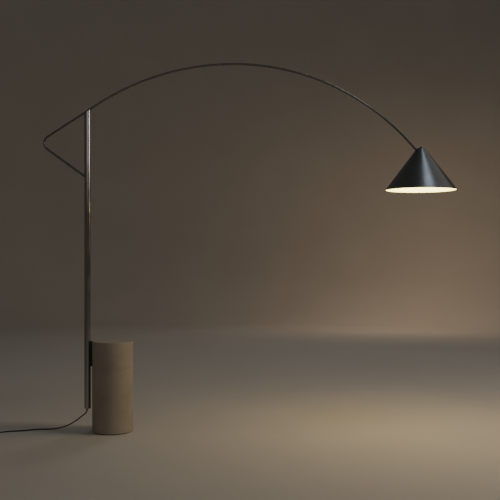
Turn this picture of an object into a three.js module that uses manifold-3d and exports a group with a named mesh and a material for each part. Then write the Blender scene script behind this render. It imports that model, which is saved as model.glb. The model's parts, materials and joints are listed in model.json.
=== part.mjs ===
// Arc floor lamp in millimetres, +Z up. The origin is the centre of the counterweight's foot, on the floor.
// +X runs from the mast to the shade, +Y to the lamp's back. The arm lies in the plane y = 0.
import * as THREE from "three";
import { mergeVertices } from "three/addons/utils/BufferGeometryUtils.js";
import Module from "manifold-3d";

const wasm = await Module();
wasm.setup();

// ---- Driving dimensions -------------------------------------------------------------------------

const TOUCH = 0.3; // between pieces that seat on each other
const RUNNING = 0.4; // between pieces that turn or slide on each other
const SIDES = 24; // sides of a round piece
const SMALL_SIDES = 12; // sides of a fastener
const BASE_SIDES = 40; // sides of the counterweight

// Counterweight
const BASE_R = 113;
const BASE_TOP = 505;
const TOP_DRUM_H = 153;
const PAD_R = 103;
const PAD_T = 4;
const TIE_ROD_R = 6;
const TIE_BORE_R = 8.5;
const TIE_INSERT_R = 11;
const TIE_INSERT_LEN = 40;
const TIE_INSERT_DEPTH = 48; // from the seam up to the insert
const TIE_NUT_R = 11;
const TIE_NUT_T = 10;
const TIE_WASHER_R = 17;
const TIE_WASHER_T = 3;
const NUT_WELL_R = 20;
const NUT_RECESS = 9; // from the well's mouth up to the nut
const ROD_PAST_NUT = 2;
const ROD_SHORT = 4; // from the rod's upper end to the insert's

// Mast, its bracket and its screws
const MAST_R = 18;
const MAST_WALL = 2;
const MAST_FOOT = 129; // height of the mast's lower end
const BRACKET_GAP = 10; // clear space between mast and counterweight
const BRACKET_W = 26;
const BRACKET_H = 140;
const BRACKET_SCREW_R = 3;
const BRACKET_SCREW_HEAD_R = 5.5;
const BRACKET_SCREW_HEAD_T = 3;
const BRACKET_SCREW_INSET = 30; // from the bracket's upper and lower ends
const BRACKET_SCREW_GRIP = 27; // length inside the counterweight
const BRACKET_SCREW_SUNK = 0.4; // of the heads' faces under the mast's surface
const BRACKET_INSERT_R = 5.5;
const FOOT_PLUG_T = 10;
const DRIVER_W = 22;
const DRIVER_D = 16;
const DRIVER_LEN = 150;
const DRIVER_ABOVE_BRACKET = 40;
const LEAD_R = 1.8;
const LEAD_BEND_R = 25; // where the lead turns from the mast into the arm
const MAINS_LEAD_SIDE = 9; // how far the lead stands off the axis where it passes the bracket's screws
const MAINS_LEAD_STEP = 30; // height of each step of its way out to there
const MAINS_LEAD_STRAIGHT = 6; // below the driver
const MAINS_LEAD_R = 2.85; // the cord inside the mast
const LEAD_SIDES = 8;

// Swivel between the lower and the upper mast tube
const SWIVEL_BELOW_BRACE = 21; // from the brace leg's axis down to the joint between the tubes
const THRUST_T = 1.2;
const SPINDLE_R = 11;
const SPINDLE_BORE_R = 6;
const SPINDLE_SEAT = 60; // length held in the lower tube
const BUSH_LEN = 15;
const BUSH_SPACING = 44; // from the lower bush's foot to the upper one's
const SPRING_WASHER_T = 2.5;
const SWIVEL_NUT_SIDE = 1; // between the round nut and the mast's bore
const SWIVEL_NUT_T = 8;
const SPANNER_SLOT_W = 5;
const SPINDLE_PAST_NUT = 3;
const LEAD_PAST_SPINDLE = 4;
const STOP_PIN_R = 2;
const STOP_PIN_REACH = 14.5; // from the mast's axis
const STUB_CLEAR = 0.9; // between the spindle and the brace stub's inner end

// Arm
const ARM_R = 6;
const ARM_WALL = 1.5;
const ARM_SIDES = 10;
const ARM_TOP_Z = 1794; // the arm's axis above the mast's axis
const LEG_RISE = THREE.MathUtils.degToRad(33); // slope of the straight leg over the mast
const REAR_REACH = 275; // from the mast's axis back to where the two legs would meet
const BRACE_Z = 1416; // where the brace leg's axis meets the mast's axis
const REAR_BEND_R = 43;
const LEG_OVERRUN = 64; // straight length past the mast's axis
const RISE_ARC_R = 1407;
const FALL_ARC_R = 1320;
const FALL_ANGLE = THREE.MathUtils.degToRad(47.6);
const END_STRAIGHT = 108; // from the end of the arc to the shade's pivot
const ARC_STEP = THREE.MathUtils.degToRad(3);
const REAR_TUBE_STEPS = 1; // steps of the rising arc that belong to the rear tube
const SPIGOT_BORE_R = 2.5;
const SPIGOT_HALF = 25; // length on each side of a joint
const SADDLE_SINK = 1; // depth of the arm's seat in the mast's mitred top
const CAP_T = 7;
const CAP_SCREW_R = 2;
const CAP_SCREW_OFFSET = 10; // each side of the cap's middle
const CAP_SCREW_HEAD_R = 3.2;
const CAP_SCREW_HEAD_T = 2.2;
const STUB_REACH = 45; // length of the brace stub outside the mast
const GRUB_R = 2;

// Shade
const RIM_R = 200;
const CONE_RUN = 0.755; // radius gained for each millimetre of drop
const SHADE_WALL = 1.5;
const RIM_DROP = 197; // from the tilt pivot down to the rim
const SHADE_TOP_RISE = 41; // from the pivot up to the cone's flat top
const SHOULDER_DROP = 7; // height of the rounded shoulder below the flat top
const SHOULDER_BEND = [
  [0, 0],
  [0.5, 0.5],
  [1.2, 0.86],
  [1.9, 1],
]; // the shoulder's points, each its way in and its way up as shares of that height
const SHADE_SIDES = 48;
const TILT_MIN = THREE.MathUtils.degToRad(-15);
const TILT_MAX = THREE.MathUtils.degToRad(20);
const SLOT_SIDE = 1.5; // clear space each side of the arm in the slot
const SLOT_REACH = [20, 80]; // nearest and farthest cut, from the pivot
const TILT_PIN_R = 3;
const TILT_HEAD_R = 5.5;
const TILT_HEAD_T = 4;
const TANG_T = 8;
const TANG_R = 8;
const KNUCKLE_SETBACK = 20; // from the pivot back to the arm tube's end
const KNUCKLE_SPIGOT = 25;
const COLLAR_LEN = 5; // of the knuckle, as thick as the arm
const LEAD_EXIT = 5; // from the tang's edge to the hole where the lead comes out
const YOKE_EAR_T = 5;
const YOKE_EAR_W = 18;
const YOKE_DROP = 34;
const BRIDGE_Z = 28; // underside of the yoke's bridge above the pivot
const BRIDGE_T = 6;
const BRIDGE_BACK = 4; // of the bridge, from the axis towards the arm
const YOKE_BOSS_R = 8;
const STUD_R = 2.5;
const CAP_NUT_R = 11;
const CAP_NUT_H = 5;
const CAP_NUT_EDGE = 2; // width and height of the chamfer round its top
const CAP_NUT_CROWN = 0.6; // rise of its top over the chamfer
const SINK_R = 65;
const SINK_T = 8;
const BOARD_R = 55;
const BOARD_T = 1.6;
const SINK_SCREW_R = 1.8;
const SINK_SCREW_HEAD_T = 2;
const SINK_SCREW_GRIP = 9; // length inside the yoke
const SINK_SCREW_HOLE = 12;
const LEAD_PORT_R = 4;
const LEAD_PORT_X = -25; // from the shade's axis towards the arm
const DIFFUSER_T = 3;
const DIFFUSER_INSET = 2; // height of the diffuser above the rim
const RING_W = 5;
const RING_T = 6;

// Cord, foot switch and plug
const CORD_R = 3.25;
const CORD_SIDES = 10;
const RELIEF_R = 4.8;
const RELIEF_TIP_R = 3.9;
const RELIEF_FLANGE_R = 7;
const RELIEF_FLANGE_T = 3;
const RELIEF_ROOT_R = 4.6; // of the tapered part
const RELIEF_LEN = 14;
const RELIEF_LEAN = THREE.MathUtils.degToRad(16);
const SWITCH_X = -754;
const SWITCH_Y = -96;
const SWITCH_LEN = 84;
const SWITCH_W = 38;
const SWITCH_H = 24;
const SWITCH_SPLIT = 10;
const SWITCH_WALL = 2;
const BUTTON_R = 12;
const BUTTON_PROUD = 4;
const BUTTON_STROKE = 3;
const BUTTON_FLANGE = 2; // beyond the button's side
const BUTTON_FLANGE_T = 2;
const BOOT_LEN = 20;
const BOOT_R = 4.6;
const BOOT_TIP_R = 3.9;
const CORD_ENTRY_Z = 5.2; // height of the cord where it enters the foot switch
const SWITCH_CORNER_R = 10;
const CONTACT_L = 30;
const CONTACT_W = 20;
const CONTACT_H = 3;
const COIL_OUTER = 47; // centre line of the outermost turn
const COIL_TURNS = 3; // turns in each of two layers
const COIL_X = -884;
const TIE_W = 12;
const TIE_T = 1;
const PLUG_LEN = 35;
const PLUG_W = 34;
const PLUG_H = 14;
const PLUG_CORNER_R = 7;
const PLUG_X = -812; // the boot's tip
const PIN_R = 2;
const PIN_LEN = 19;
const PIN_SPACING = 19;

// ---- Finishes -----------------------------------------------------------------------------------

const finish = (color, roughness, metalness) =>
  new THREE.MeshStandardMaterial({ color, roughness, metalness });
const STONE = finish(0x9a8d7c, 0.8, 0);
const POLISHED_STEEL = finish(0xb9bab8, 0.15, 1);
const ARM_STEEL = finish(0x4a4946, 0.3, 1);
const GUNMETAL = finish(0x50524f, 0.35, 0.9);
const BLACK_COAT = finish(0x161616, 0.5, 0.3);
const ZINC = finish(0xa8aaab, 0.4, 0.9);
const BRASS = finish(0xb89a55, 0.3, 1);
const ALUMINIUM = finish(0xb4b6b8, 0.4, 0.9);
const BLACK_RUBBER = finish(0x141414, 0.8, 0);
const BLACK_PLASTIC = finish(0x1a1a1a, 0.5, 0);
const BEARING_PLASTIC = finish(0xd8d4c6, 0.5, 0);
const OPAL = finish(0xfff6dc, 0.5, 0);
const WHITE_BOARD = finish(0xf0efe8, 0.5, 0);

// ---- Making and cutting solids ------------------------------------------------------------------

// A tool that cuts a hole runs 1 mm past each face that it opens, and a joined part starts 1 mm inside its neighbour.

const lamp = new THREE.Group();

// A closed geometry as a solid that faces outwards.
function solid(geometry) {
  const loose = geometry.index ? geometry.toNonIndexed() : geometry;
  const bare = new THREE.BufferGeometry().setAttribute("position", loose.getAttribute("position"));
  const merged = mergeVertices(bare, 1e-4);
  const corners = merged.index.array;
  const triangles = [];
  for (let i = 0; i < corners.length; i += 3) {
    const [a, b, c] = corners.slice(i, i + 3);
    if (a !== b && b !== c && c !== a) triangles.push([a, b, c]);
  }
  const build = (rows) =>
    new wasm.Manifold(
      new wasm.Mesh({
        numProp: 3,
        vertProperties: merged.attributes.position.array,
        triVerts: new Uint32Array(rows.flat()),
      }),
    );
  const made = build(triangles);
  return made.volume() < 0 ? build(triangles.map(([a, b, c]) => [a, c, b])) : made;
}

// Adds a solid to the lamp as one named mesh.
function piece(name, shape, material) {
  const { vertProperties, triVerts } = shape.getMesh();
  const geometry = new THREE.BufferGeometry();
  geometry.setAttribute("position", new THREE.BufferAttribute(vertProperties, 3));
  geometry.setIndex(new THREE.BufferAttribute(triVerts, 1));
  geometry.computeVertexNormals();
  const mesh = new THREE.Mesh(geometry, material);
  mesh.name = name;
  lamp.add(mesh);
  return mesh;
}

const cut = (body, ...tools) => tools.reduce((rest, tool) => rest.subtract(tool), body);
const join = (body, ...more) => more.reduce((all, part) => all.add(part), body);

// A turned shape about Z, from [radius, z] points that start and end on the axis or close on themselves.
function turned(profile, sides = SIDES) {
  const points = profile.map(([r, z]) => new THREE.Vector2(r, z));
  return new THREE.LatheGeometry(points, sides).rotateX(Math.PI / 2);
}
const rodShape = (r, z0, z1, sides) => turned([[0, z0], [r, z0], [r, z1], [0, z1]], sides);
const tubeShape = (r, bore, z0, z1, sides) =>
  turned([[bore, z0], [r, z0], [r, z1], [bore, z1], [bore, z0]], sides);
const alongX = (geometry) => geometry.rotateY(Math.PI / 2);
const alongY = (geometry) => geometry.rotateX(-Math.PI / 2);
const blockShape = (x0, x1, y0, y1, z0, z1) =>
  new THREE.BoxGeometry(x1 - x0, y1 - y0, z1 - z0).translate((x0 + x1) / 2, (y0 + y1) / 2, (z0 + z1) / 2);

// A path that visits its own points, one for each step of a sweep.
class Route extends THREE.Curve {
  constructor(points) {
    super();
    this.points = points;
  }
  getPointAt(u, target = new THREE.Vector3()) {
    const place = u * (this.points.length - 1);
    const first = Math.min(Math.floor(place + 1e-9), this.points.length - 2);
    return target.lerpVectors(this.points[first], this.points[first + 1], place - first);
  }
  getPoint(t, target) {
    return this.getPointAt(t, target);
  }
  getTangentAt(u, target = new THREE.Vector3()) {
    const last = this.points.length - 1;
    const near = Math.round(u * last);
    const before = this.points[Math.max(near - 1, 0)];
    const after = this.points[Math.min(near + 1, last)];
    return target.subVectors(after, before).normalize();
  }
}

const circle = (r, sides) =>
  Array.from({ length: sides }, (_, i) => {
    const a = (2 * Math.PI * i) / sides;
    return new THREE.Vector2(r * Math.cos(a), r * Math.sin(a));
  });

// A round bar, or a tube where it has a bore, along a list of points.
function swept(points, r, bore = 0, sides = ARM_SIDES) {
  const section = new THREE.Shape(circle(r, sides));
  if (bore > 0) section.holes.push(new THREE.Path(circle(bore, sides).reverse()));
  const path = new Route(points);
  return new THREE.ExtrudeGeometry(section, { steps: points.length - 1, extrudePath: path, bevelEnabled: false });
}

const inPlane = (x, z) => new THREE.Vector3(x, 0, z);

// ---- Places worked out from the dimensions ------------------------------------------------------

const MAST_X = -(BASE_R + BRACKET_GAP + MAST_R);
const MAST_BORE = MAST_R - MAST_WALL;
const ARM_BORE = ARM_R - ARM_WALL;
const SEAM_Z = BASE_TOP - TOP_DRUM_H;
const SWIVEL_Z = BRACE_Z - SWIVEL_BELOW_BRACE;
const onMast = (geometry) => geometry.translate(MAST_X, 0, 0);

const riseDirection = inPlane(Math.cos(LEG_RISE), Math.sin(LEG_RISE));
const riseNormal = inPlane(-Math.sin(LEG_RISE), Math.cos(LEG_RISE));
const overMast = inPlane(MAST_X, ARM_TOP_Z);
const rearCorner = inPlane(MAST_X - REAR_REACH, ARM_TOP_Z - REAR_REACH * Math.tan(LEG_RISE));
const braceRoot = inPlane(MAST_X, BRACE_Z);
const braceDirection = rearCorner.clone().sub(braceRoot).normalize();
const braceAngle = Math.atan2(braceDirection.z, braceDirection.x);
const riseStart = overMast.clone().addScaledVector(riseDirection, LEG_OVERRUN);
const riseCentre = riseStart.clone().addScaledVector(riseNormal, -RISE_ARC_R);
const crown = riseCentre.clone().add(inPlane(0, RISE_ARC_R));
const fallCentre = crown.clone().add(inPlane(0, -FALL_ARC_R));
const fallDirection = inPlane(Math.cos(FALL_ANGLE), -Math.sin(FALL_ANGLE));
const fallEnd = fallCentre
  .clone()
  .add(inPlane(FALL_ARC_R * Math.sin(FALL_ANGLE), FALL_ARC_R * Math.cos(FALL_ANGLE)));
const pivot = fallEnd.clone().addScaledVector(fallDirection, END_STRAIGHT);

// Points on an arc in the arm's plane, from one angle to another, both measured from +X.
function arc(centre, r, from, to, steps = Math.max(Math.round(Math.abs(to - from) / ARC_STEP), 1)) {
  return Array.from({ length: steps + 1 }, (_, i) => {
    const a = from + ((to - from) * i) / steps;
    return centre.clone().add(inPlane(r * Math.cos(a), r * Math.sin(a)));
  });
}

// The bend behind the mast, which turns the brace leg into the leg that rises over the mast.
const legAngle = Math.PI - (braceAngle - LEG_RISE); // between the two legs
const bendInward = riseDirection.clone().sub(braceDirection).normalize();
const bendCentre = rearCorner.clone().addScaledVector(bendInward, REAR_BEND_R / Math.sin(legAngle / 2));
const rearBend = arc(bendCentre, REAR_BEND_R, braceAngle + Math.PI / 2, LEG_RISE + Math.PI / 2, 8);

// The arm's centre line in its three tubes. Neighbours share the point where they meet.
const riseArc = arc(riseCentre, RISE_ARC_R, LEG_RISE + Math.PI / 2, Math.PI / 2);
const fallArc = arc(fallCentre, FALL_ARC_R, Math.PI / 2, Math.PI / 2 - FALL_ANGLE);
const knuckleEnd = pivot.clone().addScaledVector(fallDirection, -KNUCKLE_SETBACK);
const rearLine = [
  braceRoot.clone().addScaledVector(braceDirection, MAST_R / 2),
  ...rearBend,
  overMast,
  ...riseArc.slice(0, REAR_TUBE_STEPS + 1),
];
const innerLine = riseArc.slice(REAR_TUBE_STEPS);
const outerLine = [...fallArc, knuckleEnd];

// The same line with both ends drawn in, so that neighbours keep their gap.
function drawnIn(points, atStart, atEnd) {
  const line = points.map((point) => point.clone());
  const last = line.length - 1;
  line[0].addScaledVector(line[1].clone().sub(line[0]).normalize(), atStart);
  line[last].addScaledVector(line[last - 1].clone().sub(line[last]).normalize(), atEnd);
  return line;
}

// ---- Counterweight ------------------------------------------------------------------------------

const insertFoot = SEAM_Z + TIE_INSERT_DEPTH;
const nutFoot = PAD_T + TOUCH + NUT_RECESS;
const washerFoot = nutFoot + TIE_NUT_T + TOUCH;
const wellTop = washerFoot + TIE_WASHER_T + TOUCH;
const bracketFoot = BASE_TOP - BRACKET_H;
const bracketScrewHeights = [bracketFoot + BRACKET_SCREW_INSET, BASE_TOP - BRACKET_SCREW_INSET];
const screwTip = -BASE_R + BRACKET_SCREW_GRIP;
const bracketInsertStart = -BASE_R + 1;

piece("floor_pad", solid(rodShape(PAD_R, 0, PAD_T, BASE_SIDES)), BLACK_RUBBER);
piece(
  "base_lower_drum",
  cut(
    solid(tubeShape(BASE_R, TIE_BORE_R, PAD_T + TOUCH, SEAM_Z - TOUCH / 2, BASE_SIDES)),
    solid(rodShape(NUT_WELL_R, 0, wellTop)),
  ),
  STONE,
);

// A hole along X at a height, from one x to another.
const crossHole = (r, x0, x1, z) => solid(alongX(rodShape(r, x0, x1, SMALL_SIDES)).translate(0, 0, z));

piece(
  "base_upper_drum",
  cut(
    solid(rodShape(BASE_R, SEAM_Z + TOUCH / 2, BASE_TOP, BASE_SIDES)),
    solid(rodShape(TIE_BORE_R, SEAM_Z - 1, insertFoot + 1)),
    solid(rodShape(TIE_INSERT_R + TOUCH, insertFoot - TOUCH, insertFoot + TIE_INSERT_LEN + TOUCH)),
    ...bracketScrewHeights.map((z) => crossHole(BRACKET_INSERT_R + TOUCH, -BASE_R - 1, screwTip + 2, z)),
  ),
  STONE,
);
piece(
  "tie_rod_insert",
  solid(tubeShape(TIE_INSERT_R, TIE_ROD_R + RUNNING, insertFoot, insertFoot + TIE_INSERT_LEN, SMALL_SIDES)),
  BRASS,
);
piece(
  "tie_rod",
  solid(rodShape(TIE_ROD_R, nutFoot - ROD_PAST_NUT, insertFoot + TIE_INSERT_LEN - ROD_SHORT, SMALL_SIDES)),
  ZINC,
);
piece(
  "tie_rod_washer",
  solid(tubeShape(TIE_WASHER_R, TIE_ROD_R + RUNNING, washerFoot, washerFoot + TIE_WASHER_T)),
  ZINC,
);
piece(
  "tie_rod_nut",
  cut(
    solid(rodShape(TIE_NUT_R, nutFoot, nutFoot + TIE_NUT_T, 6)),
    solid(rodShape(TIE_ROD_R + RUNNING, nutFoot - 1, nutFoot + TIE_NUT_T + 1, SMALL_SIDES)),
  ),
  ZINC,
);

// ---- Bracket between mast and counterweight -----------------------------------------------------

const headFace = MAST_X - MAST_R + BRACKET_SCREW_SUNK;

piece(
  "mast_bracket",
  cut(
    solid(blockShape(MAST_X, 0, -BRACKET_W / 2, BRACKET_W / 2, bracketFoot, BASE_TOP)),
    solid(onMast(rodShape(MAST_R + TOUCH, bracketFoot - 1, BASE_TOP + 1))),
    solid(rodShape(BASE_R + TOUCH, bracketFoot - 1, BASE_TOP + 1, BASE_SIDES)),
    ...bracketScrewHeights.map((z) => crossHole(BRACKET_SCREW_R + RUNNING, MAST_X, 0, z)),
  ),
  BLACK_COAT,
);
bracketScrewHeights.forEach((z, i) => {
  const place = ["lower", "upper"][i];
  const shankStart = headFace + BRACKET_SCREW_HEAD_T;
  const screw = [
    [0, headFace],
    [BRACKET_SCREW_HEAD_R, headFace],
    [BRACKET_SCREW_R, shankStart],
    [BRACKET_SCREW_R, screwTip],
    [0, screwTip],
  ];
  piece("bracket_screw_" + place, solid(alongX(turned(screw, SMALL_SIDES)).translate(0, 0, z)), ZINC);
  const insert = tubeShape(BRACKET_INSERT_R, BRACKET_SCREW_R + RUNNING, bracketInsertStart, screwTip, SMALL_SIDES);
  piece("bracket_insert_" + place, solid(alongX(insert).translate(0, 0, z)), BRASS);
});

// ---- Lower mast tube and what it holds ----------------------------------------------------------

const footPlugTop = MAST_FOOT + FOOT_PLUG_T;
const reliefHole = RELIEF_R + TOUCH;
const driverFoot = BASE_TOP + DRIVER_ABOVE_BRACKET;
const driverTop = driverFoot + DRIVER_LEN;
const lowerTubeTop = SWIVEL_Z - TOUCH;
const upperTubeFoot = SWIVEL_Z + THRUST_T + TOUCH;

piece(
  "lower_mast_tube",
  cut(
    solid(onMast(tubeShape(MAST_R, MAST_BORE, MAST_FOOT, lowerTubeTop))),
    ...bracketScrewHeights.map((z) => crossHole(BRACKET_SCREW_HEAD_R + TOUCH, MAST_X - MAST_R - 1, MAST_X, z)),
    ...bracketScrewHeights.map((z) => crossHole(BRACKET_SCREW_R + RUNNING, MAST_X, MAST_X + MAST_R + 1, z)),
  ),
  POLISHED_STEEL,
);
piece(
  "mast_foot_plug",
  solid(onMast(tubeShape(MAST_BORE - TOUCH, reliefHole, MAST_FOOT, footPlugTop))),
  BLACK_COAT,
);

// The relief's flange rests on the plug, and its tapered boot leans the way that the cord leaves.
const leanDirection = inPlane(-Math.sin(RELIEF_LEAN), -Math.cos(RELIEF_LEAN));
const boot = turned([[0, 0], [RELIEF_ROOT_R, 0], [RELIEF_TIP_R, RELIEF_LEN], [0, RELIEF_LEN]], SMALL_SIDES);
boot.rotateX(Math.PI).rotateY(RELIEF_LEAN).translate(MAST_X, 0, MAST_FOOT);
piece(
  "cord_strain_relief",
  join(
    solid(onMast(rodShape(RELIEF_R, MAST_FOOT - 0.5, footPlugTop + 1, SMALL_SIDES))),
    solid(onMast(rodShape(RELIEF_FLANGE_R, footPlugTop + TOUCH, footPlugTop + RELIEF_FLANGE_T, SMALL_SIDES))),
    solid(boot),
  ),
  BLACK_RUBBER,
);

const mainsLine = [
  [0, footPlugTop + RELIEF_FLANGE_T + TOUCH],
  [0, footPlugTop + MAINS_LEAD_STEP],
  [MAINS_LEAD_SIDE / 4, footPlugTop + 2 * MAINS_LEAD_STEP],
  [(MAINS_LEAD_SIDE * 3) / 4, footPlugTop + 3 * MAINS_LEAD_STEP],
  [MAINS_LEAD_SIDE, footPlugTop + 4 * MAINS_LEAD_STEP],
  [MAINS_LEAD_SIDE, BASE_TOP],
  [MAINS_LEAD_SIDE / 2, BASE_TOP + DRIVER_ABOVE_BRACKET / 2],
  [0, driverFoot - TOUCH - MAINS_LEAD_STRAIGHT],
  [0, driverFoot - TOUCH],
].map(([y, z]) => new THREE.Vector3(MAST_X, y, z));
piece("mains_lead", solid(swept(mainsLine, MAINS_LEAD_R, 0, LEAD_SIDES)), BLACK_RUBBER);
piece(
  "led_driver",
  solid(onMast(blockShape(-DRIVER_W / 2, DRIVER_W / 2, -DRIVER_D / 2, DRIVER_D / 2, driverFoot, driverTop))),
  BLACK_PLASTIC,
);

// ---- Swivel -------------------------------------------------------------------------------------

const lowerBushFoot = upperTubeFoot + TOUCH;
const upperBushFoot = lowerBushFoot + BUSH_SPACING;
const springFoot = upperBushFoot + BUSH_LEN + TOUCH;
const nutOnSpindle = springFoot + SPRING_WASHER_T + TOUCH;
const spindleTop = nutOnSpindle + SWIVEL_NUT_T + SPINDLE_PAST_NUT;
const stubR = ARM_BORE - TOUCH;
const stubStart = (SPINDLE_R + STUB_CLEAR + stubR * Math.sin(braceAngle)) / -Math.cos(braceAngle);
const stopZ = BRACE_Z + stubStart * Math.sin(braceAngle) + STOP_PIN_R * 0.75; // level with the stub's inner end
const onSpindle = SPINDLE_R + RUNNING;
const swivelNutR = MAST_BORE - SWIVEL_NUT_SIDE;

piece(
  "lower_mast_lead",
  solid(onMast(rodShape(LEAD_R, driverTop + TOUCH, spindleTop + LEAD_PAST_SPINDLE, LEAD_SIDES))),
  BLACK_RUBBER,
);
piece(
  "swivel_spindle",
  cut(
    join(
      solid(onMast(rodShape(MAST_BORE - TOUCH, SWIVEL_Z - SPINDLE_SEAT, lowerTubeTop))),
      solid(onMast(rodShape(SPINDLE_R, SWIVEL_Z - SPINDLE_SEAT, spindleTop))),
    ),
    solid(onMast(rodShape(SPINDLE_BORE_R, SWIVEL_Z - SPINDLE_SEAT - 1, spindleTop + 1, SMALL_SIDES))),
    crossHole(STOP_PIN_R + TOUCH, MAST_X + SPINDLE_BORE_R - 1, MAST_X + SPINDLE_R + 1, stopZ),
  ),
  ZINC,
);
piece(
  "swivel_stop_pin",
  crossHole(STOP_PIN_R, MAST_X + SPINDLE_BORE_R + 1, MAST_X + STOP_PIN_REACH, stopZ),
  ZINC,
);
piece(
  "swivel_thrust_washer",
  solid(onMast(tubeShape(MAST_R - 0.5, onSpindle, SWIVEL_Z, SWIVEL_Z + THRUST_T))),
  BEARING_PLASTIC,
);
[lowerBushFoot, upperBushFoot].forEach((z, i) => {
  const bush = tubeShape(MAST_BORE - TOUCH, onSpindle, z, z + BUSH_LEN);
  piece("swivel_bush_" + ["lower", "upper"][i], solid(onMast(bush)), BEARING_PLASTIC);
});
piece(
  "swivel_spring_washer",
  solid(onMast(tubeShape(swivelNutR, onSpindle, springFoot, springFoot + SPRING_WASHER_T))),
  ZINC,
);
// A round nut with two slots for a pin spanner.
const spannerSlot = blockShape(
  -MAST_R,
  MAST_R,
  -SPANNER_SLOT_W / 2,
  SPANNER_SLOT_W / 2,
  nutOnSpindle + SWIVEL_NUT_T / 2,
  spindleTop + 1,
);
piece(
  "swivel_nut",
  cut(solid(onMast(tubeShape(swivelNutR, onSpindle, nutOnSpindle, nutOnSpindle + SWIVEL_NUT_T))), solid(onMast(spannerSlot))),
  ZINC,
);

// ---- Upper mast tube, its cap and the brace stub ------------------------------------------------

// Puts a shape made about its own X axis onto a line that leaves a point at an angle above +X.
const placed = (geometry, point, angle) => geometry.rotateY(-angle).translate(point.x, 0, point.z);
const onRise = (geometry) => placed(geometry, overMast, LEG_RISE);
const onBrace = (geometry) => placed(geometry, braceRoot, braceAngle);
const onFall = (geometry) => placed(geometry, pivot, -FALL_ANGLE);

const capFace = -(ARM_R - SADDLE_SINK); // below the arm's axis, square to it
const capBack = capFace - CAP_T;
const capMiddle = ((capFace + capBack) / 2) * Math.tan(LEG_RISE);
const capScrewPlaces = [capMiddle - CAP_SCREW_OFFSET, capMiddle + CAP_SCREW_OFFSET];
const aboveMitre = () => solid(onRise(blockShape(-100, 100, -40, 40, capFace, 100)));
const armGroove = () => solid(onRise(alongX(rodShape(ARM_R + TOUCH, -60, 60))));
const capScrewHoles = () =>
  capScrewPlaces.map((x) =>
    solid(onRise(rodShape(CAP_SCREW_R + TOUCH, capBack - 1, -ARM_BORE / 2, SMALL_SIDES).translate(x, 0, 0))),
  );

// The lead leaves the mast's axis and bends into the arm.
const leadTurn = Math.PI / 2 - LEG_RISE;
const leadSetback = LEAD_BEND_R * Math.tan(leadTurn / 2);
const leadBendStart = overMast.clone().add(inPlane(0, -leadSetback));
const leadBend = arc(leadBendStart.clone().add(inPlane(LEAD_BEND_R, 0)), LEAD_BEND_R, Math.PI, LEG_RISE + Math.PI / 2, 6);
const leadHole = () =>
  solid(swept([leadBendStart.clone().add(inPlane(0, -30)), ...leadBend], LEAD_R + 2 * RUNNING, 0, LEAD_SIDES));

const stubAxis = (r, from, to) => solid(onBrace(alongX(rodShape(r, from, to, ARM_SIDES))));
const stubOutside = MAST_R / -Math.cos(braceAngle);
const grubPlace = stubOutside + STUB_REACH / 2;
const grubHole = () =>
  solid(onBrace(rodShape(GRUB_R + TOUCH, ARM_BORE / 2, ARM_R + 2, SMALL_SIDES).translate(grubPlace, 0, 0)));

piece(
  "upper_mast_tube",
  cut(
    solid(onMast(tubeShape(MAST_R, MAST_BORE, upperTubeFoot, ARM_TOP_Z + 2 * MAST_R))),
    aboveMitre(),
    armGroove(),
    stubAxis(stubR + TOUCH, MAST_R / 2, 2 * MAST_R),
  ),
  POLISHED_STEEL,
);
piece(
  "mast_top_cap",
  cut(
    solid(onMast(rodShape(MAST_BORE - TOUCH, ARM_TOP_Z - 3 * MAST_R, ARM_TOP_Z + 2 * MAST_R))),
    aboveMitre(),
    solid(onRise(blockShape(-100, 100, -40, 40, -150, capBack))),
    armGroove(),
    leadHole(),
    ...capScrewHoles(),
  ),
  POLISHED_STEEL,
);
capScrewPlaces.forEach((x, i) => {
  const headEnd = capBack - TOUCH;
  const screw = [
    [0, headEnd - CAP_SCREW_HEAD_T],
    [CAP_SCREW_HEAD_R, headEnd - CAP_SCREW_HEAD_T],
    [CAP_SCREW_HEAD_R, headEnd],
    [CAP_SCREW_R, headEnd],
    [CAP_SCREW_R, -ARM_BORE - TOUCH],
    [0, -ARM_BORE - TOUCH],
  ];
  const name = "arm_clamp_screw_" + ["rear", "front"][i];
  piece(name, solid(onRise(turned(screw, SMALL_SIDES).translate(x, 0, 0))), ZINC);
});
piece("brace_stub", cut(stubAxis(stubR, stubStart, stubOutside + STUB_REACH), grubHole()), ZINC);
piece(
  "brace_grub_screw",
  solid(onBrace(rodShape(GRUB_R, ARM_BORE / 2 + TOUCH, ARM_R, SMALL_SIDES).translate(grubPlace, 0, 0))),
  ZINC,
);

// ---- Arm ----------------------------------------------------------------------------------------

const mastNearBrace = solid(onMast(rodShape(MAST_R + TOUCH, upperTubeFoot, BRACE_Z + 4 * MAST_R)));
const halfGap = TOUCH / 2 + ARM_R * Math.sin(ARC_STEP / 2); // the ends of neighbours lean one arc step apart

piece(
  "arm_rear_tube",
  cut(
    solid(swept(drawnIn(rearLine, 0, halfGap), ARM_R, ARM_BORE)),
    mastNearBrace,
    grubHole(),
    leadHole(),
    ...capScrewHoles(),
  ),
  ARM_STEEL,
);
piece("arm_inner_tube", solid(swept(drawnIn(innerLine, halfGap, halfGap), ARM_R, ARM_BORE)), ARM_STEEL);
piece("arm_outer_tube", solid(swept(drawnIn(outerLine, halfGap, 0), ARM_R, ARM_BORE)), ARM_STEEL);
const spigotLines = {
  arm_rear_spigot: riseArc.slice(REAR_TUBE_STEPS - 1, REAR_TUBE_STEPS + 2),
  arm_crown_spigot: [riseArc.at(-2), crown, fallArc[1]],
};
for (const [name, line] of Object.entries(spigotLines)) {
  const trims = [line[0], line[2]].map((end) => end.distanceTo(line[1]) - SPIGOT_HALF);
  piece(name, solid(swept(drawnIn(line, ...trims), ARM_BORE - TOUCH, SPIGOT_BORE_R)), ZINC);
}

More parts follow.
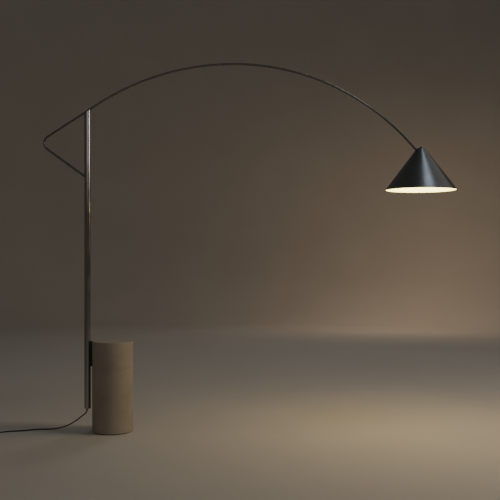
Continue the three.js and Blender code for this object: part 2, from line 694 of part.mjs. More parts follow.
const knuckleStart = -KNUCKLE_SETBACK - KNUCKLE_SPIGOT;
const collarStart = -KNUCKLE_SETBACK + TOUCH;
piece(
  "arm_knuckle",
  cut(
    join(
      solid(onFall(alongX(rodShape(ARM_BORE - TOUCH, knuckleStart, collarStart + 1, ARM_SIDES)))),
      solid(onFall(alongX(rodShape(ARM_R, collarStart, collarStart + COLLAR_LEN, ARM_SIDES)))),
      solid(onFall(blockShape(collarStart + COLLAR_LEN - 1, 0, -TANG_T / 2, TANG_T / 2, -ARM_R, ARM_R))),
      solid(onFall(alongY(rodShape(TANG_R, -TANG_T / 2, TANG_T / 2)))),
    ),
    solid(onFall(alongY(rodShape(TILT_PIN_R + RUNNING, -TANG_T, TANG_T, SMALL_SIDES)))),
    solid(onFall(alongX(rodShape(SPIGOT_BORE_R, knuckleStart - 1, -TANG_R - LEAD_EXIT + 1, ARM_SIDES)))),
    solid(onFall(alongY(rodShape(SPIGOT_BORE_R, -TANG_T, TANG_T, ARM_SIDES)).translate(-TANG_R - LEAD_EXIT, 0, 0))),
  ),
  ZINC,
);
const leadEnd = pivot.clone().addScaledVector(fallDirection, -TANG_R - 2 * LEAD_EXIT);
const armLeadLine = [
  inPlane(MAST_X, spindleTop + 2 * LEAD_PAST_SPINDLE),
  ...leadBend,
  ...riseArc,
  ...fallArc.slice(1),
  leadEnd,
];
piece("arm_lead", solid(swept(armLeadLine, LEAD_R, 0, 6)), BLACK_RUBBER);

// ---- Shade --------------------------------------------------------------------------------------

// Shapes of the shade are made about its upright axis, with the tilt pivot at z = 0.
const onPivot = (geometry) => geometry.translate(pivot.x, 0, pivot.z);
const apexRise = RIM_R / CONE_RUN - RIM_DROP; // where the cone's sides would meet, above the pivot
const coneR = (z) => (apexRise - z) * CONE_RUN;
const wallAcross = SHADE_WALL * Math.hypot(1, CONE_RUN);
const boreAt = (z) => coneR(z) - wallAcross;
const shoulderZ = SHADE_TOP_RISE - SHOULDER_DROP;
const studHole = STUD_R + RUNNING;

// The cone, with a rounded shoulder below its flat top.
const shoulder = (r, z, drop) => SHOULDER_BEND.map(([inward, upward]) => [r - inward * drop, z + upward * drop]);
const coneProfile = [
  [coneR(-RIM_DROP), -RIM_DROP],
  ...shoulder(coneR(shoulderZ), shoulderZ, SHOULDER_DROP),
  [studHole, SHADE_TOP_RISE],
  [studHole, SHADE_TOP_RISE - SHADE_WALL],
  ...shoulder(boreAt(shoulderZ - 1), shoulderZ - 1, SHOULDER_DROP + 1 - SHADE_WALL).reverse(),
  [boreAt(-RIM_DROP), -RIM_DROP],
  [coneR(-RIM_DROP), -RIM_DROP],
];

// The slot gives the arm room through the whole tilt.
const armBearing = Math.PI - FALL_ANGLE;
const surfaceAt = (a) => (apexRise * CONE_RUN) / (CONE_RUN * Math.sin(a) - Math.cos(a));
const slotEdge = (limit, side) => {
  const bearing = armBearing + limit;
  return bearing + side * Math.asin((ARM_R + SLOT_SIDE) / surfaceAt(bearing));
};
const slotHalfWidth = ARM_R + SLOT_SIDE;
const slotEdges = [slotEdge(TILT_MIN, -1), slotEdge(TILT_MAX, 1)];
const fan = (r, a) => new THREE.Vector2(r * Math.cos(a), r * Math.sin(a));
const slotFan = new THREE.Shape([
  fan(SLOT_REACH[0], slotEdges[0]),
  fan(SLOT_REACH[1], slotEdges[0]),
  fan(SLOT_REACH[1], slotEdges[1]),
  fan(SLOT_REACH[0], slotEdges[1]),
]);
const slotShape = new THREE.ExtrudeGeometry(slotFan, { depth: 2 * slotHalfWidth, bevelEnabled: false })
  .rotateX(Math.PI / 2)
  .translate(0, slotHalfWidth, 0);

piece("shade_cone", cut(solid(onPivot(turned(coneProfile, SHADE_SIDES))), solid(onPivot(slotShape))), GUNMETAL);

const earInner = ARM_R + 2 * TOUCH; // the arm's collar passes between the ears
const frictionWasherT = earInner - TANG_T / 2 - 2 * TOUCH;
const earOuter = earInner + YOKE_EAR_T;
const bridgeTop = BRIDGE_Z + BRIDGE_T;
const bossTop = SHADE_TOP_RISE - SHADE_WALL - TOUCH;
const sinkTop = -YOKE_DROP - TOUCH;
const boardTop = sinkTop - SINK_T - TOUCH;
const boardFoot = boardTop - BOARD_T;
const screwSide = (earInner + earOuter) / 2;
const ear = (side) =>
  solid(
    onPivot(
      blockShape(
        -YOKE_EAR_W / 2,
        YOKE_EAR_W / 2,
        side > 0 ? earInner : -earOuter,
        side > 0 ? earOuter : -earInner,
        -YOKE_DROP,
        bridgeTop,
      ),
    ),
  );
const sinkScrewHole = (r, z0, z1, side) => solid(onPivot(rodShape(r, z0, z1, SMALL_SIDES).translate(0, side, 0)));

piece(
  "shade_yoke",
  cut(
    join(
      ear(-1),
      ear(1),
      solid(onPivot(blockShape(-BRIDGE_BACK, YOKE_EAR_W / 2, -earOuter, earOuter, BRIDGE_Z, bridgeTop))),
      solid(onPivot(rodShape(YOKE_BOSS_R, bridgeTop - 1, bossTop))),
      solid(onPivot(rodShape(STUD_R, bridgeTop - 1, SHADE_TOP_RISE + CAP_NUT_H - CAP_NUT_EDGE, SMALL_SIDES))),
    ),
    solid(onPivot(alongY(rodShape(TILT_PIN_R + RUNNING, -2 * earOuter, 2 * earOuter, SMALL_SIDES)))),
    ...[-screwSide, screwSide].map((y) => sinkScrewHole(SINK_SCREW_R + TOUCH, -YOKE_DROP - 1, -YOKE_DROP + SINK_SCREW_HOLE, y)),
  ),
  ZINC,
);
piece(
  "shade_cap_nut",
  cut(
    solid(
      onPivot(
        turned([
          [0, SHADE_TOP_RISE + TOUCH],
          [CAP_NUT_R, SHADE_TOP_RISE + TOUCH],
          [CAP_NUT_R, SHADE_TOP_RISE + CAP_NUT_H - CAP_NUT_EDGE],
          [CAP_NUT_R - CAP_NUT_EDGE, SHADE_TOP_RISE + CAP_NUT_H - CAP_NUT_CROWN],
          [CAP_NUT_R / 2, SHADE_TOP_RISE + CAP_NUT_H],
          [0, SHADE_TOP_RISE + CAP_NUT_H],
        ]),
      ),
    ),
    solid(onPivot(rodShape(studHole, SHADE_TOP_RISE, SHADE_TOP_RISE + CAP_NUT_H - CAP_NUT_EDGE + TOUCH, SMALL_SIDES))),
  ),
  GUNMETAL,
);

const tiltHead = -earOuter - TOUCH;
piece(
  "tilt_screw",
  join(
    solid(onPivot(alongY(rodShape(TILT_PIN_R, tiltHead - 1, earOuter + TILT_HEAD_T, SMALL_SIDES)))),
    solid(onPivot(alongY(rodShape(TILT_HEAD_R, tiltHead - TILT_HEAD_T, tiltHead, SMALL_SIDES)))),
  ),
  ZINC,
);
piece(
  "tilt_nut",
  cut(
    solid(onPivot(alongY(rodShape(TILT_HEAD_R, -tiltHead, -tiltHead + TILT_HEAD_T, 6)))),
    solid(onPivot(alongY(rodShape(TILT_PIN_R + RUNNING, earInner, 2 * earOuter, SMALL_SIDES)))),
  ),
  ZINC,
);
[-1, 1].forEach((side) => {
  const near = TANG_T / 2 + TOUCH;
  const washer = tubeShape(TANG_R - 1, TILT_PIN_R + RUNNING, near, near + frictionWasherT, SMALL_SIDES);
  const turnedOver = side < 0 ? alongY(washer).rotateX(Math.PI) : alongY(washer);
  piece("tilt_friction_washer_" + (side < 0 ? "front" : "back"), solid(onPivot(turnedOver)), BEARING_PLASTIC);
});

const portHole = () => solid(onPivot(rodShape(LEAD_PORT_R, -100, 0, SMALL_SIDES).translate(LEAD_PORT_X, 0, 0)));
piece(
  "heat_sink",
  cut(
    solid(onPivot(rodShape(SINK_R, sinkTop - SINK_T, sinkTop))),
    portHole(),
    ...[-screwSide, screwSide].map((y) => sinkScrewHole(SINK_SCREW_R + TOUCH, -100, 0, y)),
  ),
  ALUMINIUM,
);
piece(
  "led_board",
  cut(
    solid(onPivot(rodShape(BOARD_R, boardFoot, boardTop))),
    portHole(),
    ...[-screwSide, screwSide].map((y) => sinkScrewHole(SINK_SCREW_R + TOUCH, -100, 0, y)),
  ),
  WHITE_BOARD,
);
[-screwSide, screwSide].forEach((y, i) => {
  const head = boardFoot - TOUCH;
  const screw = [
    [0, head - SINK_SCREW_HEAD_T],
    [2 * SINK_SCREW_R, head - SINK_SCREW_HEAD_T],
    [2 * SINK_SCREW_R, head],
    [SINK_SCREW_R, head],
    [SINK_SCREW_R, -YOKE_DROP + SINK_SCREW_GRIP],
    [0, -YOKE_DROP + SINK_SCREW_GRIP],
  ];
  const name = "heat_sink_screw_" + ["front", "back"][i];
  piece(name, solid(onPivot(turned(screw, SMALL_SIDES).translate(0, y, 0))), ZINC);
});

const diffuserFoot = -RIM_DROP + DIFFUSER_INSET;
const diffuserTop = diffuserFoot + DIFFUSER_T;
const ringFoot = diffuserTop + TOUCH;
const ringTop = ringFoot + RING_T;
piece(
  "diffuser",
  solid(onPivot(rodShape(boreAt(diffuserTop) - 2 * TOUCH, diffuserFoot, diffuserTop, SHADE_SIDES))),
  OPAL,
);
piece(
  "diffuser_ring",
  solid(
    onPivot(
      turned(
        [
          [boreAt(ringFoot) - RING_W - TOUCH, ringFoot],
          [boreAt(ringFoot) - 2 * TOUCH, ringFoot],
          [boreAt(ringTop) - 2 * TOUCH, ringTop],
          [boreAt(ringTop) - RING_W - TOUCH, ringTop],
          [boreAt(ringFoot) - RING_W - TOUCH, ringFoot],
        ],
        SHADE_SIDES,
      ),
    ),
  ),
  GUNMETAL,
);

// ---- Cord, foot switch, coil and plug -----------------------------------------------------------

// The cord leaves the relief, comes down to the floor and wanders away from the lamp to the foot switch.
const floorRun = [
  [-145.1, 0, 114.6],
  [-148.9, 0, 105.2],
  [-157.5, 0.5, 96.5],
  [-169.5, 1.5, 87],
  [-185, 3.5, 74.5],
  [-203.5, 6.5, 60.5],
  [-226, 11, 45.5],
  [-252, 17, 31.5],
  [-280, 24, 20],
  [-310, 31.5, 11],
  [-342, 38, 5.6],
  [-376, 42, 3.4],
  [-410, 41, 3.4],
  [-440, 33, 3.4],
  [-470, 18, 3.4],
  [-500, 1, 3.4],
  [-530, -9, 3.4],
  [-562, -16, 3.4],
  [-590, -30, 3.4],
  [-615, -49, 3.4],
  [-640, -70, 3.4],
  [-661, -86, 3.6],
  [-677, -94.2, 4.6],
  [-691.4, -96, 5.2],
];
const switchToCoil = [
  [-816.3, -96, 5.2],
  [-836, -96, 5],
  [-858.5, -96, 4.7],
];
const coilToPlug = [
  [-858.5, -2, 10.6],
  [-840, -2.3, 8.8],
  [-825, -2.2, 7.4],
  [-812.3, -2, 7],
];
const cordPiece = (name, points, steps) => {
  const route = new THREE.CatmullRomCurve3(points.map((point) => new THREE.Vector3(...point)), false, "centripetal");
  piece(name, solid(swept(route.getSpacedPoints(steps), CORD_R, 0, CORD_SIDES)), BLACK_RUBBER);
};
cordPiece("cord_to_switch", floorRun, 44);
cordPiece("cord_to_coil", switchToCoil, 3);
cordPiece("cord_to_plug", coilToPlug, 4);

// A flat block with round corners, from one height to another.
function roundedBlock(length, width, r, z0, z1) {
  const [x, y] = [length / 2, width / 2];
  const outline = new THREE.Shape();
  outline.absarc(x - r, y - r, r, 0, Math.PI / 2);
  outline.absarc(-x + r, y - r, r, Math.PI / 2, Math.PI);
  outline.absarc(-x + r, -y + r, r, Math.PI, 1.5 * Math.PI);
  outline.absarc(x - r, -y + r, r, 1.5 * Math.PI, 2 * Math.PI);
  return new THREE.ExtrudeGeometry(outline, { depth: z1 - z0, bevelEnabled: false, curveSegments: 3 }).translate(
    0,
    0,
    z0,
  );
}
const onSwitch = (geometry) => geometry.translate(SWITCH_X, SWITCH_Y, 0);
const cordBoot = (x, side, z) => {
  const taper = [[0, -1], [BOOT_R, -1], [BOOT_R, 0], [BOOT_TIP_R, BOOT_LEN], [0, BOOT_LEN]];
  const shape = alongX(turned(taper, SMALL_SIDES));
  if (side < 0) shape.rotateZ(Math.PI);
  return shape.translate(x, 0, z);
};
const coverRoof = SWITCH_H - SWITCH_WALL;
const flangeTop = coverRoof - TOUCH;

piece(
  "foot_switch_base",
  join(
    solid(onSwitch(roundedBlock(SWITCH_LEN, SWITCH_W, SWITCH_CORNER_R, 0, SWITCH_SPLIT))),
    solid(onSwitch(blockShape(-CONTACT_L / 2, CONTACT_L / 2, -CONTACT_W / 2, CONTACT_W / 2, 1, SWITCH_SPLIT + CONTACT_H))),
    solid(onSwitch(cordBoot(SWITCH_LEN / 2, 1, CORD_ENTRY_Z))),
    solid(onSwitch(cordBoot(-SWITCH_LEN / 2, -1, CORD_ENTRY_Z))),
  ),
  BLACK_PLASTIC,
);
piece(
  "foot_switch_cover",
  cut(
    solid(onSwitch(roundedBlock(SWITCH_LEN, SWITCH_W, SWITCH_CORNER_R, SWITCH_SPLIT + TOUCH, SWITCH_H))),
    solid(
      onSwitch(
        roundedBlock(
          SWITCH_LEN - 2 * SWITCH_WALL,
          SWITCH_W - 2 * SWITCH_WALL,
          SWITCH_CORNER_R - SWITCH_WALL,
          SWITCH_SPLIT,
          coverRoof,
        ),
      ),
    ),
    solid(onSwitch(rodShape(BUTTON_R + RUNNING, SWITCH_SPLIT, SWITCH_H + 1))),
  ),
  BLACK_PLASTIC,
);
const buttonFoot = SWITCH_SPLIT + CONTACT_H + BUTTON_STROKE + 2 * TOUCH;
piece(
  "foot_switch_button",
  join(
    solid(onSwitch(rodShape(BUTTON_R, buttonFoot, SWITCH_H + BUTTON_PROUD))),
    solid(onSwitch(rodShape(BUTTON_R + BUTTON_FLANGE, flangeTop - BUTTON_FLANGE_T, flangeTop))),
  ),
  BLACK_PLASTIC,
);

const COIL_Y = SWITCH_Y + COIL_OUTER;
const coilR = COIL_OUTER + CORD_R;
const coilBoreR = COIL_OUTER - 2 * CORD_R * COIL_TURNS - CORD_R;
const coilFoot = TIE_T + TOUCH;
const coilTop = coilFoot + 4 * CORD_R;
piece(
  "cord_coil",
  solid(tubeShape(coilR, coilBoreR, coilFoot, coilTop, SIDES).translate(COIL_X, COIL_Y, 0)),
  BLACK_RUBBER,
);
const tieLoop = (spare) =>
  blockShape(
    -coilR - 2 * TOUCH - spare,
    -coilBoreR + 4 * TOUCH + spare,
    -TIE_W / 2 - (spare ? 0 : 1),
    TIE_W / 2 + (spare ? 0 : 1),
    spare ? 0 : TIE_T,
    coilTop + TOUCH + spare,
  ).translate(COIL_X, COIL_Y, 0);
piece("coil_tie", cut(solid(tieLoop(TIE_T)), solid(tieLoop(0))), BLACK_PLASTIC);

const PLUG_Y = SWITCH_Y + 2 * COIL_OUTER;
const plugBodyX = PLUG_X + BOOT_LEN + PLUG_LEN / 2;
const onPlug = (geometry) => geometry.translate(plugBodyX, PLUG_Y, 0);
const pin = (side) =>
  solid(
    onPlug(
      alongX(rodShape(PIN_R, PLUG_LEN / 2 - 1, PLUG_LEN / 2 + PIN_LEN, SMALL_SIDES)).translate(
        0,
        (side * PIN_SPACING) / 2,
        PLUG_H / 2,
      ),
    ),
  );
piece(
  "plug",
  join(
    solid(onPlug(roundedBlock(PLUG_LEN, PLUG_W, PLUG_CORNER_R, 0, PLUG_H))),
    solid(onPlug(cordBoot(-PLUG_LEN / 2, -1, PLUG_H / 2))),
    pin(-1),
    pin(1),
  ),
  BLACK_PLASTIC,
);

export default lamp;
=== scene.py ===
# %% [markdown]
# # An arc floor lamp
# The lamp is a stone counterweight, a steel mast beside it, a thin bent arm and a spun cone of a shade.
# Another program made its working model: every part has its real size and its joint. This script keeps that
# model as a fixed frame, and makes what the eye sees around it: fine surfaces, finishes, light and the cord.

# %% Load the frame
import json
import math

import bmesh
import bpy
from mathutils import Matrix, Vector


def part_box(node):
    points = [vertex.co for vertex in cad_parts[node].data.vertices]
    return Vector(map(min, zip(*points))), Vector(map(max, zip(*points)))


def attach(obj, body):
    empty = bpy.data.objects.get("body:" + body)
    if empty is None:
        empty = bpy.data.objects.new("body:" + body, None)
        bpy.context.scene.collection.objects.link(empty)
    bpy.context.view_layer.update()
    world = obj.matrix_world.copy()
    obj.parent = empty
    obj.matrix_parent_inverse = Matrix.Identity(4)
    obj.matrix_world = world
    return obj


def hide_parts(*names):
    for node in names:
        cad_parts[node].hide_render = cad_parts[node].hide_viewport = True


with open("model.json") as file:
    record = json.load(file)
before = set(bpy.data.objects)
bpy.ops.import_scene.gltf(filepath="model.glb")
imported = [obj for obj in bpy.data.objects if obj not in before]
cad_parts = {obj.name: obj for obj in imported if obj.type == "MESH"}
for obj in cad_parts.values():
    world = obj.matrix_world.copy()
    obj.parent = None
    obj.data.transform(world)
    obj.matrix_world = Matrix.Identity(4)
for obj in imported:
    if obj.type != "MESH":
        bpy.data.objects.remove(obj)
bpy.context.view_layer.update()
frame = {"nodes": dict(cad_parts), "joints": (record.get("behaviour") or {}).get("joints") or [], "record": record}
nodes = frame["nodes"]
MM = 0.001

# %% [markdown]
# Sizes come from the frame. A box gives a part's lowest and highest corner, and from those we work out the
# places that the finer pieces need. Only sizes that a box can't show, such as a wall, are written here.

# %% Sizes read from the frame
base_low, base_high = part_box("base_upper_drum")
BASE_R = (base_high.x - base_low.x) / 2
SEAM_TOP = base_low.z
lower_low, lower_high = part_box("base_lower_drum")
mast_low, mast_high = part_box("lower_mast_tube")
MAST_R = (mast_high.x - mast_low.x) / 2
MAST_X = (mast_high.x + mast_low.x) / 2
MAST_WALL = 2 * MM
upper_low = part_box("upper_mast_tube")[0]
pivot = Vector(next(j["pos_m"] for j in frame["joints"] if j["name"] == "shade_tilt"))
cone_low, cone_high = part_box("shade_cone")
RIM_R = (cone_high.y - cone_low.y) / 2
RIM_Z = cone_low.z
SHADE_TOP = cone_high.z
print(f"mast {2 * MAST_R:.3f} m across, shade {2 * RIM_R:.3f} m, pivot at {pivot[:]}")

# %% [markdown]
# The camera comes first, because it decides what is worth detail. It stands level, a little under a metre
# above the floor and nearly five metres away, opposite the middle of the arc. A long lens keeps the mast
# straight, and a small shift lifts the view so that the camera needs no tilt.

# %% Camera
CAMERA_PLACE = (0.769, -4.73, 0.97)
LENS_MM = 60.8
SHIFT_UP = 0.016

camera_data = bpy.data.cameras.new("camera")
camera_data.lens = LENS_MM
camera_data.sensor_width = 36
camera_data.shift_y = SHIFT_UP
camera = bpy.data.objects.new("camera", camera_data)
camera.location = CAMERA_PLACE
camera.rotation_euler = (math.radians(90), 0, 0)
bpy.context.scene.collection.objects.link(camera)
bpy.context.scene.camera = camera

# %% [markdown]
# ## Helpers for meshes
# Every piece ends as plain mesh. A modifier does its work and is then baked in, and the shading is smooth
# except over edges that are really sharp.


# %% Mesh helpers
def new_piece(name, verts, faces, smooth_below=40):
    """A mesh object at the origin, smooth except over edges sharper than the angle given."""
    mesh = bpy.data.meshes.new(name)
    mesh.from_pydata([tuple(v) for v in verts], [], faces)
    tidy = bmesh.new()
    tidy.from_mesh(mesh)
    bmesh.ops.remove_doubles(tidy, verts=tidy.verts, dist=1e-6)
    bmesh.ops.recalc_face_normals(tidy, faces=tidy.faces)
    tidy.to_mesh(mesh)
    tidy.free()
    return show(name, mesh, smooth_below)


def soften(mesh, smooth_below=40):
    mesh.shade_smooth()
    mesh.set_sharp_from_angle(angle=math.radians(smooth_below))
    return mesh


def add_object(name, data):
    item = bpy.data.objects.new(name, data)
    bpy.context.scene.collection.objects.link(item)
    return item


def show(name, mesh, smooth_below=40):
    return add_object(name, soften(mesh, smooth_below))


def finished_mesh(item):
    """What an object's modifiers make of it, as a plain mesh."""
    bpy.context.view_layer.update()
    return bpy.data.meshes.new_from_object(item.evaluated_get(bpy.context.evaluated_depsgraph_get()))


def baked(piece, smooth_below=40):
    """The piece with its modifiers turned into plain mesh."""
    mesh = finished_mesh(piece)
    piece.modifiers.clear()
    piece.data = soften(mesh, smooth_below)
    return piece


def soft_edged(piece, width, segments, smooth_below=40):
    """The piece with a small round along its sharp edges."""
    bevel = piece.modifiers.new("edges", "BEVEL")
    bevel.width, bevel.segments = width, segments
    bevel.limit_method, bevel.angle_limit = "ANGLE", math.radians(50)
    return baked(piece, smooth_below)


def line_through(name, points):
    """A curve object whose one spline runs straight from point to point."""
    curve = bpy.data.curves.new(name, "CURVE")
    curve.dimensions = "3D"
    spline = curve.splines.new("POLY")
    spline.points.add(len(points) - 1)
    for point, place in zip(spline.points, points):
        point.co = (*place, 1)
    return add_object(name, curve)


# %% [markdown]
# Most shapes are a skin over rings of points. A turned piece is the commonest: a profile that goes once round
# an axis. We make it by hand, ring by ring, so the number of sides is ours to choose and the seam is closed
# from the start.


# %% Turned and raised shapes
def skinned(name, rings, closed=False, smooth_below=40):
    """A mesh through rings of points, where a ring of one point is a pole. Closed, it has no end caps."""
    starts = [sum(len(ring) for ring in rings[:k]) for k in range(len(rings))]
    caps = [tuple(starts[k] + i for i in range(len(rings[k]))) for k in (0, -1)]
    faces = [] if closed else caps
    for k in range(len(rings) - (not closed)):
        after = (k + 1) % len(rings)
        here, there = len(rings[k]), len(rings[after])
        around = max(here, there)
        for i in range(around if around > 1 else 0):
            outer = [starts[after] + i % there, starts[after] + (i + 1) % there]
            corners = [starts[k] + i % here, *outer, starts[k] + (i + 1) % here]
            faces.append(tuple(dict.fromkeys(corners)))
    return new_piece(name, [v for ring in rings for v in ring], faces, smooth_below)


def angles(count, first=0.0):
    return [first + 2 * math.pi * i / count for i in range(count)]


def lathe(name, profile, centre=(0, 0, 0), sides=128, axis="Z"):
    """Turns a closed profile of (radius, height) points about an axis through centre."""
    rings = []
    for r, h in profile:
        flats = [(r * math.cos(a), r * math.sin(a)) for a in angles(sides if r > 1e-9 else 1)]
        ring = [{"Z": (x, y, h), "Y": (x, h, y), "X": (h, x, y)}[axis] for x, y in flats]
        rings.append([Vector(place) + Vector(centre) for place in ring])
    return skinned(name, rings, closed=True)


def prism(name, outline, foot, top):
    """An outline in plan, raised from one height to another."""
    return skinned(name, [[(x, y, z) for x, y in outline] for z in (foot, top)])


def squared(angle, power):
    """A point of the unit circle, pushed out towards a square as the power falls below one."""
    c, s = math.cos(angle), math.sin(angle)
    return math.copysign(abs(c) ** power, c), math.copysign(abs(s) ** power, s)


def rounded(profile, corners, steps=4):
    """The profile with each listed corner, index to radius, turned into a small arc."""
    out = []
    for i, point in enumerate(profile):
        r = corners.get(i)
        if r is None:
            out.append(point)
            continue
        here = Vector(point)
        before = (Vector(profile[i - 1]) - here).normalized()
        after = (Vector(profile[(i + 1) % len(profile)]) - here).normalized()
        for k in range(steps + 1):
            t = k / steps
            p = here + before * r * (1 - t) ** 2 + after * r * t**2
            out.append((p.x, p.y))
    return out


def disc(name, radius, foot, top, low=None, high=None, **place):
    """A turned disc or rod, its lower and upper edge rounded by the radii given."""
    outline = [(0, foot), (radius, foot), (radius, top), (0, top)]
    return lathe(name, rounded(outline, {1: low, 2: high}), **place)


def dress(piece, slot, *replaced, body="lamp_stand"):
    """The last step for every piece: finish, body, and the frame nodes it stands for."""
    piece.data.materials.clear()
    piece.data.materials.append(finishes[slot])
    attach(piece, body)
    if replaced:
        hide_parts(*replaced)
    print(piece.name, "has", f"{len(piece.data.polygons)} faces" if piece.type == "MESH" else "one curve")


# %% [markdown]
# ## The cord
# A cord is one length of something flexible, so it gets one curve from end to end. It leaves the foot of the
# mast in a tapered sleeve, hangs to the floor, wanders to a foot switch, and what is spare is put away as a
# small coil with its plug beside it. The points of the free run are listed one by one, as a cord doesn't
# follow a rule, and a short loop makes the turns of the coil, which do.

# %% The cord's route
CORD_R = 3.25 * MM
COIL_CENTRE = Vector((-884, -49, 0)) * MM
COIL_OUT, COIL_IN = 47 * MM, 27.5 * MM
LAYER_LOW, LAYER_HIGH = 4.55 * MM, 11.05 * MM
TURNS, PER_TURN = 3, 28
RISE_TUCK = 1.2 * MM  # how far the rising half-turn leans in towards the coil's middle

floor_run = [
    (-145.1, 0, 114.6), (-148.9, 0, 105.2), (-157.5, 0.5, 96.5), (-169.5, 1.5, 87), (-185, 3.5, 74.5),
    (-203.5, 6.5, 60.5), (-226, 11, 45.5), (-252, 17, 31.5), (-280, 24, 20), (-310, 31.5, 11),
    (-342, 38, 5.6), (-376, 42, 3.4), (-410, 41, 3.4), (-440, 33, 3.4), (-470, 18, 3.4), (-500, 1, 3.4),
    (-530, -9, 3.4), (-562, -16, 3.4), (-590, -30, 3.4), (-615, -49, 3.4), (-640, -70, 3.4),
    (-661, -86, 3.6), (-677, -94.2, 4.6), (-691.4, -96, 5.2),
]
past_switch = [(-816.3, -96, 5.2), (-836, -96, 5), (-858.5, -96, 4.7)]
to_plug = [(-858.5, -2, 10.6), (-840, -2.3, 8.8), (-825, -2.2, 7.4), (-812.3, -2, 7), (-800, -2, 7)]


def coil_point(angle, radius, height):
    return COIL_CENTRE + Vector((radius * math.cos(angle), radius * math.sin(angle), height))


def layer(first, start_r, end_r, height):
    """One layer of the coil, from one radius to another."""
    run, steps = [], TURNS * PER_TURN
    for t in (i / steps for i in range(steps + 1)):
        run.append(coil_point(first - TURNS * 2 * math.pi * t, start_r + (end_r - start_r) * t, height))
    return run


def coil_points():
    """Three turns inwards on the floor, half a turn up, and three outwards on top."""
    entry, rise = -math.pi / 2, []
    for i in range(1, PER_TURN // 2):
        t = i / (PER_TURN / 2)
        height = LAYER_LOW + (LAYER_HIGH - LAYER_LOW) * t * t * (3 - 2 * t)
        rise.append(coil_point(entry - math.pi * t, COIL_IN - RISE_TUCK * math.sin(math.pi * t), height))
    low = layer(entry, COIL_OUT, COIL_IN, LAYER_LOW)
    return low + rise + layer(entry - math.pi, COIL_IN, COIL_OUT, LAYER_HIGH)


def between(a, b, start, end, t):
    return a + (b - a) * ((t - start) / (end - start))


def smooth_run(points):
    """A centripetal Catmull-Rom curve through the points, sampled about every three millimetres."""
    p = [Vector(q) for q in points]
    p = [2 * p[0] - p[1], *p, 2 * p[-1] - p[-2]]
    out = []
    for i in range(1, len(p) - 2):
        knots = [0.0]
        for k in range(3):
            knots.append(knots[-1] + max((p[i + k] - p[i + k - 1]).length, 1e-6) ** 0.5)
        count = max(1, round((p[i + 1] - p[i]).length / (3 * MM)))
        for n in range(count):
            t = knots[1] + (knots[2] - knots[1]) * n / count
            near = [between(p[i - 1 + k], p[i + k], knots[k], knots[k + 1], t) for k in range(3)]
            far = [between(near[k], near[k + 1], knots[k], knots[k + 2], t) for k in range(2)]
            out.append(between(far[0], far[1], knots[1], knots[2], t))
    return out + [p[-2]]


def length_of(points):
    return sum((Vector(b) - Vector(a)).length for a, b in zip(points, points[1:]))


# %% [markdown]
# The tube itself is a curve with a round bevel, the simplest thing that stays a true cord: its own line is
# its centreline, and its length can be measured. It runs in one piece through the foot switch.

# %% The cord's tube
in_metres = [[Vector(p) * MM for p in run] for run in (floor_run, past_switch, to_plug)]
cord_line = smooth_run(in_metres[0] + in_metres[1]) + coil_points() + smooth_run(in_metres[2])
CORD_LENGTH = round(length_of(cord_line), 3)

mains_cord = line_through("mains_cord", cord_line)
mains_cord.data.bevel_depth, mains_cord.data.bevel_resolution = CORD_R, 5
mains_cord.data.use_fill_caps = True
mains_cord.data.splines[0].use_smooth = True
print(f"cord: {CORD_LENGTH} m in {len(cord_line)} points")

# %% [markdown]
# ## Finishes
# Real surfaces are never one flat colour. Stone has grains and clouds, drawn steel has fine lines, spun metal
# has rings, and everything gathers a little dust and loses paint at its edges. Several finishes share these
# effects, so each effect is a node group, built once. The groups give masks, values and heights. The shader
# itself, and every number that is the same all over, stays in the material.


# %% Node helpers
def put(tree, kind, inputs=None, **settings):
    """Adds a node. An input given a socket is linked, and anything else is its value."""
    node = tree.nodes.new(kind)
    for key, value in settings.items():
        setattr(node, key, value)
    for socket, value in (inputs or {}).items():
        if isinstance(value, bpy.types.NodeSocket):
            tree.links.new(value, node.inputs[socket])
        else:
            node.inputs[socket].default_value = value
    return node


def new_tree(kind, name, inputs, outputs):
    """A node group of a kind, and its input and output sockets. Each socket's name is given with its type."""
    tree = bpy.data.node_groups.new(name, kind)
    for label, socket in inputs.items():
        tree.interface.new_socket(label, in_out="INPUT", socket_type=socket)
    for label, socket in outputs.items():
        tree.interface.new_socket(label, in_out="OUTPUT", socket_type=socket)
    return tree, put(tree, "NodeGroupInput").outputs, put(tree, "NodeGroupOutput").inputs


def remap(tree, value, low, high, to_low=0.0, to_high=1.0):
    """A value moved from one range to another and kept inside it."""
    ranges = {"Value": value, 1: low, 2: high, 3: to_low, 4: to_high}
    return put(tree, "ShaderNodeMapRange", ranges).outputs[0]


def noise(tree, vector, scale, detail=4.0, roughness=0.55):
    values = {"Vector": vector, "Scale": scale, "Detail": detail, "Roughness": roughness}
    return put(tree, "ShaderNodeTexNoise", values).outputs["Fac"]


def times(tree, a, b):
    return put(tree, "ShaderNodeMath", {0: a, 1: b}, operation="MULTIPLY").outputs[0]


def stretched(tree, vector, factors):
    return put(tree, "ShaderNodeVectorMath", {0: vector, 1: factors}, operation="MULTIPLY").outputs[0]


def object_place(tree):
    return put(tree, "ShaderNodeTexCoord").outputs["Object"]


def facing_up(tree):
    """1 where a face looks up, 0 where it is upright, and -1 where it looks down."""
    normal = put(tree, "ShaderNodeNewGeometry").outputs["Normal"]
    return put(tree, "ShaderNodeSeparateXYZ", {0: normal}).outputs["Z"]


FLOAT, VECTOR, INT = "NodeSocketFloat", "NodeSocketVector", "NodeSocketInt"
GEOMETRY, MATERIAL = {"Geometry": "NodeSocketGeometry"}, {"Material": "NodeSocketMaterial"}
SHADER_TREE = "ShaderNodeTree"

# %% [markdown]
# Grain is for stone, rubber and moulded plastic. Clouds are the slow changes over a hand's width, specks are
# the small grains, and the height is for a Bump node.

